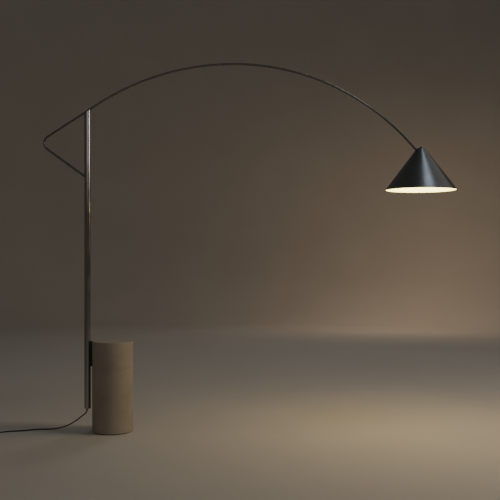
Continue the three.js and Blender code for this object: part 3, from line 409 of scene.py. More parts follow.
# %% Grain group
scales = {"Cloud Scale": FLOAT, "Speck Scale": FLOAT}
masks = {"Clouds": FLOAT, "Specks": FLOAT, "Height": FLOAT}
grain, given, out = new_tree(SHADER_TREE, "grain", scales, masks)
place = object_place(grain)
cloud = noise(grain, place, given["Cloud Scale"], 5.0)
speck = noise(grain, place, given["Speck Scale"], 3.0, 0.6)
cells = put(grain, "ShaderNodeTexVoronoi", {"Vector": place, "Scale": given["Speck Scale"]})
grain.links.new(remap(grain, cloud, 0.32, 0.68), out["Clouds"])
grain.links.new(remap(grain, speck, 0.5, 0.72), out["Specks"])
grain.links.new(times(grain, speck, cells.outputs["Distance"]), out["Height"])

# %% [markdown]
# Tool lines are what polishing, drawing and spinning leave. A noise that is stretched a hundredfold one way
# turns into lines: along X, Y or Z for a drawn tube, and across Z for the rings of a spun cone. The
# smudges are where hands have been, and only change how sharp the shine is.

# %% Tool lines group
scales, masks = {"Stretch": VECTOR, "Smudge Scale": FLOAT}, {"Lines": FLOAT, "Smudges": FLOAT}
tool_lines, given, out = new_tree(SHADER_TREE, "tool_lines", scales, masks)
place = object_place(tool_lines)
drawn = stretched(tool_lines, place, given["Stretch"])
touched = noise(tool_lines, place, given["Smudge Scale"], 4.0)
tool_lines.links.new(noise(tool_lines, drawn, 1.0, 3.0, 0.65), out["Lines"])
tool_lines.links.new(remap(tool_lines, touched, 0.38, 0.66), out["Smudges"])

# %% [markdown]
# Dust lies where a surface faces up, in soft patches. Edge wear compares the true normal with one that is
# rounded over the neighbouring faces: they differ only near an edge, so it works on any mesh, even
# on loose triangles.

# %% Dust and edge wear groups
dust, given, out = new_tree(SHADER_TREE, "dust", {"Amount": FLOAT}, {"Mask": FLOAT})
patches = remap(dust, noise(dust, object_place(dust), 35.0, 6.0, 0.7), 0.35, 0.75)
lying = times(dust, remap(dust, facing_up(dust), 0.55, 1.0), patches)
dust.links.new(times(dust, lying, given["Amount"]), out["Mask"])

scales = {"Width": FLOAT, "Break Up": FLOAT}
edge_wear, given, out = new_tree(SHADER_TREE, "edge_wear", scales, {"Mask": FLOAT})
soft = put(edge_wear, "ShaderNodeBevel", {"Radius": given["Width"]}, samples=4).outputs[0]
true = put(edge_wear, "ShaderNodeNewGeometry").outputs["Normal"]
same = put(edge_wear, "ShaderNodeVectorMath", {0: soft, 1: true}, operation="DOT_PRODUCT").outputs["Value"]
rubbed = noise(edge_wear, object_place(edge_wear), given["Break Up"], 5.0, 0.65)
worn = times(edge_wear, remap(edge_wear, same, 0.995, 0.9), remap(edge_wear, rubbed, 0.4, 0.62))
edge_wear.links.new(worn, out["Mask"])
print("effect groups:", [tree.name for tree in (grain, tool_lines, dust, edge_wear)])

# %% [markdown]
# Each material below starts in the same way: a Principled shader with its constant numbers on its own
# sockets. Then come the effects that this finish shows, mixed into its colour, roughness and bump.


# %% Material helpers
finishes = {}


def finish_of(name, **constants):
    """A new material: its node tree and its Principled shader, with the constants set on it."""
    material = bpy.data.materials.new(name)
    material.use_nodes = True
    shader = material.node_tree.nodes["Principled BSDF"]
    for label, value in constants.items():
        shader.inputs[label.replace("_", " ")].default_value = value
    finishes[name] = material
    return material.node_tree, shader


def effect(tree, group_tree, **values):
    """A group placed in a material, with this material's own values."""
    node = put(tree, "ShaderNodeGroup", node_tree=group_tree)
    for label, value in values.items():
        node.inputs[label.replace("_", " ")].default_value = value
    return node.outputs


def tint(tree, mask, without, where):
    """One colour where the mask is 0, and another where it is 1."""
    return put(tree, "ShaderNodeMix", {0: mask, 6: without, 7: where}, data_type="RGBA").outputs[2]


def rgb(red, green, blue):
    return (red, green, blue, 1.0)


def mottled(tree, surface, one, other):
    """Two colours that change places with the slow clouds of the grain."""
    return tint(tree, surface["Clouds"], one, other)


def drive(tree, shader, colour=None, roughness=None, height=None, bump=0.1, depth=0.0002):
    """Feeds a shader's colour, roughness and bump."""
    if colour is not None:
        tree.links.new(colour, shader.inputs["Base Color"])
    if roughness is not None:
        tree.links.new(roughness, shader.inputs["Roughness"])
    if height is not None:
        raised = put(tree, "ShaderNodeBump", {"Height": height, "Strength": bump, "Distance": depth})
        tree.links.new(raised.outputs[0], shader.inputs["Normal"])


# %% [markdown]
# The counterweight is cast stone: a warm grey with slow clouds and fine darker grains, matt, with lighter,
# softly chipped arrises and a film of dust on top.

# %% Stone
tree, shader = finish_of("stone", Specular_IOR_Level=0.35)
body = effect(tree, grain, Cloud_Scale=7.0, Speck_Scale=520.0)
wear = effect(tree, edge_wear, Width=0.003, Break_Up=90.0)
film = effect(tree, dust, Amount=0.35)
colour = mottled(tree, body, rgb(0.365, 0.315, 0.250), rgb(0.460, 0.402, 0.325))
colour = tint(tree, remap(tree, body["Specks"], 0.0, 1.0, 0.0, 0.6), colour, rgb(0.22, 0.185, 0.145))
colour = tint(tree, remap(tree, wear["Mask"], 0.0, 1.0, 0.0, 0.25), colour, rgb(0.58, 0.53, 0.45))
colour = tint(tree, film["Mask"], colour, rgb(0.52, 0.49, 0.44))
drive(tree, shader, colour, remap(tree, body["Clouds"], 0.0, 1.0, 0.62, 0.8), body["Height"], 0.35, 0.0004)


# %% [markdown]
# The metals differ in colour, in how far they are polished, and in the way that their tool lines run. One
# maker covers them all, so that steel, brass and aluminium stay comparable numbers.

# %% Metals
def metal(name, clean, smudged, shine, stretch, bump=0.08, smudge_scale=9.0):
    """shine is the roughness where the metal is clean and where it was touched."""
    tree, shader = finish_of(name, Metallic=1.0)
    marks = effect(tree, tool_lines, Stretch=stretch, Smudge_Scale=smudge_scale)
    film = effect(tree, dust, Amount=0.18)
    colour = tint(tree, remap(tree, marks["Lines"], 0.3, 0.7), clean, smudged)
    colour = tint(tree, film["Mask"], colour, rgb(0.45, 0.43, 0.4))
    touched = put(tree, "ShaderNodeMath", {0: marks["Smudges"], 1: film["Mask"]}, operation="MAXIMUM")
    roughness = remap(tree, touched.outputs[0], 0.0, 1.0, *shine)
    drive(tree, shader, colour, roughness, marks["Lines"], bump, 0.00006)


ALONG_Z, ROUND_Z, ALL_WAYS = (700, 700, 5), (4, 4, 900), (300, 300, 300)
metal("polished_steel", rgb(0.46, 0.455, 0.445), rgb(0.39, 0.385, 0.375), (0.12, 0.22), ALONG_Z)
metal("arm_steel", rgb(0.20, 0.194, 0.184), rgb(0.15, 0.146, 0.138), (0.20, 0.30), (60, 900, 60))
metal("gunmetal", rgb(0.205, 0.207, 0.215), rgb(0.155, 0.157, 0.162), (0.30, 0.38), ROUND_Z, 0.12, 6.0)
metal("zinc_steel", rgb(0.58, 0.59, 0.60), rgb(0.48, 0.48, 0.47), (0.3, 0.45), ALL_WAYS, 0.15, 60.0)
metal("brass", rgb(0.78, 0.60, 0.32), rgb(0.62, 0.45, 0.22), (0.25, 0.42), ROUND_Z, 0.1, 70.0)
metal("aluminium", rgb(0.74, 0.75, 0.76), rgb(0.64, 0.65, 0.66), (0.32, 0.45), ROUND_Z, 0.1, 30.0)

# %% [markdown]
# The bracket has a black powder coat. It has a fine orange-peel bump, and shows bare metal where an edge is
# rubbed. Metallic follows the wear too, as a chip in paint uncovers steel.

# %% Black coat
tree, shader = finish_of("black_coat", Specular_IOR_Level=0.45)
peel = effect(tree, grain, Cloud_Scale=20.0, Speck_Scale=900.0)
wear = effect(tree, edge_wear, Width=0.0007, Break_Up=300.0)
chipped = remap(tree, wear["Mask"], 0.35, 0.9, 0.0, 0.5)
coat = mottled(tree, peel, rgb(0.012, 0.012, 0.012), rgb(0.02, 0.02, 0.019))
colour = tint(tree, chipped, coat, rgb(0.35, 0.34, 0.33))
drive(tree, shader, colour, remap(tree, peel["Specks"], 0.0, 1.0, 0.38, 0.5), peel["Height"], 0.3)
tree.links.new(chipped, shader.inputs["Metallic"])


# %% [markdown]
# Rubber and plastics are one family: dark or pale, matt or satin, with a moulded grain, and dust on top.

# %% Plastics and rubber
def moulded(name, base, cloudy, shine, speck_scale, bump, dust_amount, **constants):
    tree, shader = finish_of(name, **constants)
    skin = effect(tree, grain, Cloud_Scale=25.0, Speck_Scale=speck_scale)
    film = effect(tree, dust, Amount=dust_amount)
    colour = tint(tree, film["Mask"], mottled(tree, skin, base, cloudy), rgb(0.3, 0.29, 0.27))
    drive(tree, shader, colour, remap(tree, skin["Clouds"], 0.0, 1.0, *shine), skin["Height"], bump)


BLACK, SOOT = rgb(0.014, 0.014, 0.014), rgb(0.022, 0.021, 0.02)
moulded("black_rubber", BLACK, SOOT, (0.55, 0.72), 1100.0, 0.25, 0.25, Specular_IOR_Level=0.35)
moulded("black_plastic", rgb(0.018, 0.018, 0.018), rgb(0.026, 0.026, 0.025), (0.34, 0.46), 1300.0, 0.3, 0.22)
moulded("bearing_plastic", rgb(0.62, 0.60, 0.55), rgb(0.70, 0.68, 0.63), (0.35, 0.45), 600.0, 0.1, 0.1)
moulded("board", rgb(0.72, 0.73, 0.72), rgb(0.78, 0.79, 0.78), (0.3, 0.42), 500.0, 0.08, 0.1)

# %% [markdown]
# The diffuser is opal acrylic lit from behind. It glows a warm white, a little stronger in the middle than
# near the rim, so its emission colour follows the distance from the shade's axis. Only faces that look down
# glow, as the light goes out that way and the inside of the shade stays dark.

# %% Opal diffuser
tree, shader = finish_of("opal_diffuser", Roughness=0.35, Emission_Strength=7.0)
skin = effect(tree, grain, Cloud_Scale=12.0, Speck_Scale=300.0)
on_axis = put(tree, "ShaderNodeMapping", {"Vector": object_place(tree), "Location": -pivot})
flat = stretched(tree, on_axis.outputs[0], (1, 1, 0))
reach = put(tree, "ShaderNodeVectorMath", {0: flat}, operation="LENGTH").outputs["Value"]
lit = tint(tree, remap(tree, reach, 0.03, RIM_R), rgb(1.0, 0.92, 0.30), rgb(1.0, 0.80, 0.20))
lit = tint(tree, remap(tree, facing_up(tree), 0.0, -0.5), rgb(0, 0, 0), lit)
tree.links.new(lit, shader.inputs["Emission Color"])
colour = mottled(tree, skin, rgb(0.80, 0.79, 0.76), rgb(0.84, 0.83, 0.80))
drive(tree, shader, colour, remap(tree, skin["Clouds"], 0, 1, 0.3, 0.42), skin["Height"], 0.05)
print("finishes:", len(bpy.data.materials))

# %% [markdown]
# ## Tubes
# The arm and the mast are tubes, and a tube follows a rule: one radius, one wall and a path. That makes them
# work for Geometry Nodes. The tree sweeps a circle along a curve for the outside. For the inside it moves a
# copy of those faces inwards by the wall, which also closes the two ends, and turns them to face the bore.


# %% Geometry Nodes helpers
def geometry_tree(name, **inputs):
    """A geometry tree whose inputs are a start geometry, the ones given, and a material."""
    named = {label.replace("_", " "): socket for label, socket in inputs.items()}
    return new_tree("GeometryNodeTree", name, {**GEOMETRY, **named, **MATERIAL}, GEOMETRY)


def end_with(tree, given, out, geometry):
    """Every tree ends in real geometry with its material on it."""
    real = put(tree, "GeometryNodeRealizeInstances", {0: geometry}).outputs[0]
    dressed = put(tree, "GeometryNodeSetMaterial", {"Geometry": real, "Material": given["Material"]})
    tree.links.new(dressed.outputs[0], out["Geometry"])


def grow(name, tree, finish, start=None, **values):
    """Runs a tree on a start object, sets its inputs by their identifiers, and bakes the result."""
    start = start or add_object(name, bpy.data.meshes.new(name))
    modifier = start.modifiers.new("grow", "NODES")
    modifier.node_group = tree
    values["Material"] = finishes[finish]
    for item in tree.interface.items_tree:
        label = item.name.replace(" ", "_")
        if item.in_out == "INPUT" and label in values:
            modifier[item.identifier] = values[label]
    mesh = finished_mesh(start)
    bpy.data.objects.remove(start)
    return show(name, mesh)


# %% Tube tree
tube_tree, given, out = geometry_tree("tube_on_path", Radius=FLOAT, Wall=FLOAT, Sides=INT)
circle = {"Resolution": given["Sides"], "Radius": given["Radius"]}
ring = put(tube_tree, "GeometryNodeCurvePrimitiveCircle", circle).outputs[0]
swept = {"Curve": given["Geometry"], "Profile Curve": ring}
outside = put(tube_tree, "GeometryNodeCurveToMesh", swept).outputs[0]
inward = {"Mesh": outside, "Offset Scale": times(tube_tree, given["Wall"], -1.0), "Individual": False}
inside = put(tube_tree, "GeometryNodeExtrudeMesh", inward).outputs[0]
inside = put(tube_tree, "GeometryNodeFlipFaces", {0: inside}).outputs[0]
both = put(tube_tree, "GeometryNodeJoinGeometry")
for part in (inside, outside):
    tube_tree.links.new(part, both.inputs[0])
closed = put(tube_tree, "GeometryNodeMergeByDistance", {"Geometry": both.outputs[0], "Distance": 1e-6})
end_with(tube_tree, given, out, closed.outputs[0])
print("tree:", tube_tree.name)


# %% [markdown]
# The arm's path lies in one upright plane. It leaves the mast as a brace, turns round a tight bend, comes
# back over the mast's top as a straight leg, and goes on in two great arcs that meet at the crown. Directions
# are angles in that plane, so each tangent point can be worked out from a centre and a radius.

# %% The arm's path
ARM_R, ARM_WALL = 6 * MM, 1.2 * MM
BEND_CENTRE, BEND_R = Vector((-0.3400, 0, 1.6135)), 0.043
RISE_CENTRE, RISE_R = Vector((0.6790, 0, 0.6489)), 1.407
FALL_CENTRE, FALL_R = Vector((0.6790, 0, 0.7359)), 1.320
BRACE_HEADING, LEG_HEADING, FALL_HEADING = math.radians(144), math.radians(33), math.radians(-47.6)
SECTION_GAP = math.radians(0.013)  # a hairline at each joint of the tubes
REAR_SHARE = math.radians(3)  # of the rising arc, part of the rear tube
BRACE_DEPTH = 2.5 * MM  # of the brace's end inside the mast's surface
SHORT_OF_PIVOT = 20 * MM


def heading(angle):
    return Vector((math.cos(angle), 0, math.sin(angle)))


def arc_run(centre, radius, start, end, step=math.radians(1.0)):
    """Points on a clockwise arc, by the heading at its start and end."""
    count = max(2, round(abs(start - end) / step))
    turns = [start + (end - start) * i / count for i in range(count + 1)]
    return [centre + radius * heading(a + math.pi / 2) for a in turns]


bend = arc_run(BEND_CENTRE, BEND_R, BRACE_HEADING, LEG_HEADING, math.radians(4))
to_mast = (bend[0].x - MAST_X + MAST_R - BRACE_DEPTH) / math.cos(BRACE_HEADING)
split = LEG_HEADING - REAR_SHARE
arm_paths = {
    "arm_rear_tube": [
        bend[0] - heading(BRACE_HEADING) * to_mast, *bend, *arc_run(RISE_CENTRE, RISE_R, LEG_HEADING, split),
    ],
    "arm_inner_tube": arc_run(RISE_CENTRE, RISE_R, split - SECTION_GAP, SECTION_GAP),
    "arm_outer_tube": [
        *arc_run(FALL_CENTRE, FALL_R, -SECTION_GAP, FALL_HEADING),
        pivot - SHORT_OF_PIVOT * heading(FALL_HEADING),
    ],
}
print(f"arm: {sum(length_of(path) for path in arm_paths.values()):.3f} m of tube")


# %% The arm's three tubes
for name, points in arm_paths.items():
    path = line_through("path", points)
    tube = grow(name + "_fine", tube_tree, "arm_steel", path, Radius=ARM_R, Wall=ARM_WALL, Sides=40)
    dress(tube, "arm_steel", name, body="arm")

# %% [markdown]
# The mast is a straight tube in two lengths that turn on each other. Its top is cut at the arm's own angle,
# so that the arm lies along it. A sheared ring makes that cut: every point of the last rings is raised by
# its distance along X.


# %% The mast
MITRE = math.tan(LEG_HEADING)
ARM_OVER_MAST = 1.794
MITRE_DROP = 5 * MM / math.cos(LEG_HEADING)


def mast_tube(name, foot, top, slope=0.0):
    """A straight tube round the mast's axis with slightly broken edges. slope shears its top."""
    bore, ease = MAST_R - MAST_WALL, 0.5 * MM
    profile = [(bore, foot + ease), (bore + ease, foot), (MAST_R - ease, foot), (MAST_R, foot + ease)]
    profile += [(MAST_R, foot + (top - foot) * 0.5)]
    profile += [(MAST_R, top - ease), (MAST_R - ease, top), (bore + ease, top), (bore, top - ease)]
    tube = lathe(name, profile, (MAST_X, 0, 0), 96)
    for v in tube.data.vertices:
        if v.co.z > top - 2 * ease:
            v.co.z += slope * (v.co.x - MAST_X)
    return tube


def cut_with(piece, *cutters):
    """The piece with the cutters taken out of it."""
    for cutter in cutters:
        knife = piece.modifiers.new("cut", "BOOLEAN")
        knife.object, knife.operation, knife.solver = cutter, "DIFFERENCE", "EXACT"
    baked(piece)
    for cutter in cutters:
        bpy.data.objects.remove(cutter)
    return piece


HEAD_HOLE_R, BEFORE_MAST = 5.8 * MM, MAST_X - MAST_R - 2 * MM
screw_boxes = [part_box("bracket_screw_lower"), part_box("bracket_screw_upper")]
screw_heights = [(low.z + high.z) / 2 for low, high in screw_boxes]
lower_mast = mast_tube("lower_mast_fine", mast_low.z, mast_high.z)
cut_with(lower_mast, *[
    disc("drill", HEAD_HOLE_R, BEFORE_MAST, MAST_X, centre=(0, 0, z), sides=48, axis="X")
    for z in screw_heights
])
upper_mast = mast_tube("upper_mast_fine", upper_low.z, ARM_OVER_MAST - MITRE_DROP, MITRE)
dress(lower_mast, "polished_steel", "lower_mast_tube")
dress(upper_mast, "polished_steel", "upper_mast_tube", body="arm")

# %% [markdown]
# ## The counterweight
# The stone stands on a rubber pad that is a little smaller, which leaves a thin shadow under it. The stone is
# two drums on one rod. Both are turned, with softened arrises, and a shallow groove at the seam draws a fine
# dark line round it.

# %% Pad and drums
PAD_R, PAD_T, GROOVE = 103 * MM, 4 * MM, 1.3 * MM
ROD_BORE_R, WELL_R, WELL_DEPTH = 7 * MM, 18 * MM, 23 * MM
INSERT_BORE_R, INSERT_TOP = 11.4 * MM, 440.5 * MM
pad = disc("floor_pad_fine", PAD_R, 0, PAD_T, 1.2 * MM, 0.8 * MM)
dress(pad, "black_rubber", "floor_pad")

foot, seam, lid, waist = lower_low.z, lower_high.z, base_high.z, BASE_R - GROOVE
outline = [(WELL_R, foot), (BASE_R, foot), (BASE_R, seam - GROOVE), (waist, seam - GROOVE), (waist, seam)]
outline += [(ROD_BORE_R, seam), (ROD_BORE_R, foot + WELL_DEPTH), (WELL_R, foot + WELL_DEPTH)]
lower_drum = lathe("lower_drum_fine", rounded(outline, {1: 2.2 * MM, 2: 0.5 * MM}, 5), sides=192)
outline = [(INSERT_BORE_R, SEAM_TOP), (BASE_R, SEAM_TOP), (BASE_R, lid), (0, lid), (0, INSERT_TOP)]
outline += [(INSERT_BORE_R, INSERT_TOP)]
upper_drum = lathe("upper_drum_fine", rounded(outline, {1: 0.5 * MM, 2: 2.6 * MM}, 5), sides=192)
dress(lower_drum, "stone", "base_lower_drum")
dress(upper_drum, "stone", "base_upper_drum")

# %% [markdown]
# The bracket fills the gap between two round things, so both its faces are hollow. We draw its plan as two
# arcs, raise it to its height, and let a Bevel modifier break the edges.

# %% Bracket
bracket_low, bracket_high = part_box("mast_bracket")
half, seat, back = bracket_high.y, MAST_R + 0.3 * MM, BASE_R + 0.3 * MM
ways = [half * (-1 + i / 8) for i in range(17)]
plan = [(MAST_X + math.sqrt(seat**2 - y**2), y) for y in ways]
plan += [(-math.sqrt(back**2 - y**2), y) for y in reversed(ways)]
bracket = prism("bracket_fine", plan, bracket_low.z, bracket_high.z)
dress(soft_edged(bracket, 1.0 * MM, 3), "black_coat", "mast_bracket")

# %% [markdown]
# Screws repeat, so one tree makes them: a head and a shank, with a six-sided socket cut into the head,
# put on a line of points. Here it makes the two screws of the bracket.

# %% Screw tree
screw_tree, given, out = geometry_tree(
    "screw_row", Head_Radius=FLOAT, Neck_Radius=FLOAT, Head_Height=FLOAT, Shank_Radius=FLOAT, Length=FLOAT,
    Socket_Radius=FLOAT, Count=INT, Start=VECTOR, Spacing=VECTOR, Turn=VECTOR,
)


def turned_solid(kind, sides, depth, **radii):
    """A cone or a cylinder on Z, centred on the origin."""
    sizes = {label.replace("_", " "): given[source] for label, source in radii.items()}
    return put(screw_tree, kind, {"Vertices": sides, "Depth": given[depth], **sizes}).outputs[0]


CONE, CYLINDER = "GeometryNodeMeshCone", "GeometryNodeMeshCylinder"
head = turned_solid(CONE, 40, "Head Height", Radius_Top="Neck Radius", Radius_Bottom="Head Radius")
shank = turned_solid(CYLINDER, 32, "Length", Radius="Shank Radius")
half_way = put(screw_tree, "ShaderNodeCombineXYZ", {"Z": times(screw_tree, given["Length"], 0.5)}).outputs[0]
shank = put(screw_tree, "GeometryNodeTransform", {"Geometry": shank, "Translation": half_way}).outputs[0]
socket = turned_solid(CYLINDER, 6, "Head Height", Radius="Socket Radius")
BOOLEAN = "GeometryNodeMeshBoolean"
whole = put(screw_tree, BOOLEAN, operation="UNION", solver="EXACT")
for part in (shank, head):
    screw_tree.links.new(part, whole.inputs[1])
screw = put(screw_tree, BOOLEAN, {0: whole.outputs[0], 1: socket}, operation="DIFFERENCE", solver="EXACT")
row = {"Count": given["Count"], "Start Location": given["Start"], "Offset": given["Spacing"]}
points = put(screw_tree, "GeometryNodeMeshLine", row, mode="OFFSET").outputs[0]
copies = {"Points": points, "Instance": screw.outputs[0], "Rotation": given["Turn"]}
screws = put(screw_tree, "GeometryNodeInstanceOnPoints", copies)
end_with(screw_tree, given, out, screws.outputs[0])

# %% Bracket screws
screw_low, screw_high = screw_boxes[0]
bracket_screws = grow(
    "bracket_screws_fine", screw_tree, "zinc_steel",
    Head_Radius=5.5 * MM, Neck_Radius=3 * MM, Head_Height=3.3 * MM,
    Shank_Radius=3 * MM, Length=screw_high.x - screw_low.x, Socket_Radius=2.3 * MM, Count=2,
    Start=(screw_low.x, 0, screw_heights[0]), Spacing=(0, 0, screw_heights[1] - screw_heights[0]),
    Turn=(0, math.pi / 2, 0),
)
dress(bracket_screws, "zinc_steel", "bracket_screw_lower", "bracket_screw_upper")

# %% [markdown]
# ## The shade
# The shade is one disc of aluminium, spun over a cone on a lathe, so it is one profile that goes round. The
# profile climbs the outside, turns over a soft shoulder to the flat top, and comes back down the inside a
# wall's thickness away. The rim is rolled round. A slot in the arm's side is then cut, so that the shade can
# tilt.

# %% Shade profile
CONE_SLOPE, CONE_APEX = 0.755, 0.0679
SHADE_WALL, STUD_HOLE_R = 1.5 * MM, 3.3 * MM
SHOULDER_Z, FLAT_Z, FLAT_R = 34 * MM, SHADE_TOP - pivot.z, 12.3 * MM
rim_z = RIM_Z - pivot.z


def cone_radius(z, inset=0.0):
    return CONE_SLOPE * (CONE_APEX - z) - inset * math.sqrt(1 + CONE_SLOPE**2)


def shoulder(inset):
    """From the cone's side to its flat top, as one quarter bend."""
    top, steps = FLAT_Z - inset, 7
    start = Vector((cone_radius(SHOULDER_Z - inset, inset), SHOULDER_Z - inset))
    corner, end = Vector((cone_radius(top, inset), top)), Vector((FLAT_R, top))
    shares = [i / steps for i in range(steps + 1)]
    return [tuple(start * (1 - t) ** 2 + corner * 2 * t * (1 - t) + end * t * t) for t in shares]


quarters = [rim_z * k / 4 for k in range(4)]
rim = [(cone_radius(rim_z, SHADE_WALL) + 0.3 * MM, rim_z), (cone_radius(rim_z) - 0.2 * MM, rim_z)]
rim += [(cone_radius(rim_z), rim_z + 0.5 * MM)]
outside = [(cone_radius(z), z) for z in (rim_z + 3 * MM, *reversed(quarters))]
hole = [(STUD_HOLE_R, FLAT_Z), (STUD_HOLE_R, FLAT_Z - SHADE_WALL)]
lining = [(cone_radius(z, SHADE_WALL), z) for z in (*quarters, rim_z + 1 * MM)]
profile = [*rim, *outside, *shoulder(0), *hole, *reversed(shoulder(SHADE_WALL)), *lining]
shade = lathe("shade_cone_fine", profile, pivot, 256)

# %% Shade slot
SLOT_HALF, SLOT_END, SLOT_REACH = 7.5 * MM, 13.5 * MM, (20 * MM, 80 * MM)
tilt = next(j for j in frame["joints"] if j["name"] == "shade_tilt")["range_deg"]
arm_bearing = math.pi + FALL_HEADING


def surface_at(a):
    return CONE_APEX * CONE_SLOPE / (CONE_SLOPE * math.sin(a) - math.cos(a))


edges = [arm_bearing + math.radians(limit) for limit in tilt]
edges = [a + side * math.asin(SLOT_END / surface_at(a)) for a, side in zip(edges, (-1, 1))]
corners = zip((*SLOT_REACH, *reversed(SLOT_REACH)), (edges[0], edges[0], edges[1], edges[1]))
fan = [Vector((r * math.cos(a), -r * math.sin(a))) for r, a in corners]
slot_tool = prism("slot_tool", fan, -SLOT_HALF, SLOT_HALF)
for v in slot_tool.data.vertices:
    v.co = pivot + Vector((v.co.x, v.co.z, -v.co.y))
cut_with(shade, slot_tool)
dress(shade, "gunmetal", "shade_cone", body="shade")

# %% [markdown]
# A knurled disc nut holds the cone to its yoke. Knurls repeat round an axis, and so do the fins of the heat
# sink under it, so one tree puts ribs round a circle for both. The plain disc is the tree's start object. The
# lights of the board stand in rings too, but aren't turned, so the maker of the tree can leave the turn out.


# %% Trees for rings
def ring_tree(name, turned=False):
    """A tree that puts blocks round a circle and joins them to its start object."""
    tree, given, out = geometry_tree(name, Count=INT, Circle=FLOAT, Block=VECTOR, Centre=VECTOR)
    ring = {"Vertices": given["Count"], "Radius": given["Circle"]}
    circle = put(tree, "GeometryNodeMeshCircle", ring).outputs[0]
    block = put(tree, "GeometryNodeMeshCube", {"Size": given["Block"]}).outputs[0]
    blocks = put(tree, "GeometryNodeInstanceOnPoints", {"Points": circle, "Instance": block})
    if turned:
        outward = put(tree, "GeometryNodeInputPosition").outputs[0]
        facing = put(tree, "FunctionNodeAlignRotationToVector", {"Vector": outward}, axis="X", pivot_axis="Z")
        tree.links.new(facing.outputs[0], blocks.inputs["Rotation"])
    placed = {"Geometry": blocks.outputs[0], "Translation": given["Centre"]}
    both = put(tree, "GeometryNodeJoinGeometry")
    for part in (put(tree, "GeometryNodeTransform", placed).outputs[0], given["Geometry"]):
        tree.links.new(part, both.inputs[0])
    end_with(tree, given, out, both.outputs[0])
    return tree


rib_tree = ring_tree("ribs_round_axis", turned=True)
light_tree = ring_tree("ring_of_lights")

# %% Cap nut
nut_low, nut_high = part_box("shade_cap_nut")
NUT_R, nut_foot, nut_top = (nut_high.y - nut_low.y) / 2, nut_low.z, nut_high.z
STUD_R, disc_r = 3.2 * MM, NUT_R - 0.4 * MM
outline = [(STUD_R, nut_foot), (disc_r, nut_foot), (disc_r, nut_top), (0, nut_top)]
outline += [(0, nut_foot + 1 * MM), (STUD_R, nut_foot + 1 * MM)]
nut_disc = lathe("nut_disc", rounded(outline, {1: 0.5 * MM, 2: 1.2 * MM}), (pivot.x, 0, 0), 72)
cap_nut = grow(
    "cap_nut_fine", rib_tree, "gunmetal", nut_disc, Count=48, Circle=NUT_R - 0.5 * MM,
    Block=(0.8 * MM, 0.7 * MM, nut_top - nut_foot - 2.2 * MM),
    Centre=(pivot.x, 0, (nut_foot + nut_top) / 2 - 0.2 * MM),
)
dress(cap_nut, "gunmetal", "shade_cap_nut", body="shade")

# %% Heat sink
sink_low, sink_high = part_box("heat_sink")
SINK_R, FIN_H, HUB_R = (sink_high.y - sink_low.y) / 2, 5 * MM, 24 * MM
fin_foot = sink_high.z - FIN_H
outline = [(0, sink_low.z), (SINK_R, sink_low.z), (SINK_R, fin_foot), (HUB_R, fin_foot), (HUB_R, sink_high.z)]
outline += [(0, sink_high.z)]
sink_disc = lathe("sink_disc", rounded(outline, {1: 0.5 * MM, 2: 0.5 * MM}), (pivot.x, 0, 0), 96)
heat_sink = grow(
    "heat_sink_fine", rib_tree, "aluminium", sink_disc, Count=40, Circle=44 * MM,
    Block=(38 * MM, 1.6 * MM, FIN_H + 1 * MM), Centre=(pivot.x, 0, sink_high.z - FIN_H / 2 - 0.5 * MM),
)
dress(heat_sink, "aluminium", "heat_sink", body="shade")

# %% [markdown]
# Under the heat sink sits a white board with rings of small lights. The rings follow a rule as well: each has
# a radius, and a count that keeps the lights about a centimetre apart.

# %% Lights on the board
board_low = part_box("led_board")[0]
CHIP, CHIP_PITCH = (3 * MM, 3 * MM, 0.7 * MM), 11 * MM
lights = None
for ring_r in (12 * MM, 24 * MM, 36 * MM, 47 * MM):
    count, middle = round(2 * math.pi * ring_r / CHIP_PITCH), (pivot.x, 0, board_low.z - CHIP[2] / 2)
    sizes = {"Count": count, "Circle": ring_r, "Block": CHIP, "Centre": middle}
    lights = grow("board_lights", light_tree, "opal_diffuser", lights, **sizes)
dress(lights, "opal_diffuser", body="shade")

# %% Diffuser
opal_low, opal_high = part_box("diffuser")
DIFFUSER_R = (opal_high.y - opal_low.y) / 2
faces_at = opal_low.z, opal_high.z
diffuser = disc("diffuser_fine", DIFFUSER_R, *faces_at, 1 * MM, 0.8 * MM, centre=(pivot.x, 0, 0), sides=192)
dress(diffuser, "opal_diffuser", "diffuser", body="shade")

# %% [markdown]
# ## On the cord
# Where the cord leaves the mast, a tapered rubber sleeve shares the bend out over its length. It leans the
# way that the cord hangs. Grooves round it let it flex.

# %% Strain relief
RELIEF_LEAN, RELIEF_LENGTH = math.radians(16), 14 * MM
ROOT_R, TIP_R = 4.4 * MM, 3.9 * MM


def sleeve_profile(root_r, tip_r, length, grooves, foot):
    """A tapered sleeve with soft grooves round it, from a foot that is hidden in its housing."""
    steps, depth = 6, 0.35 * MM
    run, count = [(0, foot), (root_r, foot)], grooves * steps
    for i in range(count + 1):
        groove = depth * math.sin(math.pi * (i % steps) / steps) ** 2
        run.append((root_r + (tip_r - root_r) * i / count - groove, length * i / count))
    return [*run, (0, length)]


hanging = [(r, -h) for r, h in sleeve_profile(ROOT_R, TIP_R, RELIEF_LENGTH, 4, -3 * MM)]
relief = lathe("strain_relief_fine", hanging, sides=48)
leaning = Matrix.Rotation(RELIEF_LEAN, 3, "Y")
for v in relief.data.vertices:
    v.co = leaning @ v.co + Vector((MAST_X, 0, mast_low.z))
dress(relief, "black_rubber", "cord_strain_relief")

# %% [markdown]
# The foot switch is a moulded box in two halves with a round button. A rounded outline that is raised and
# then bevelled gives each half. The button is turned, with shallow rings for grip.


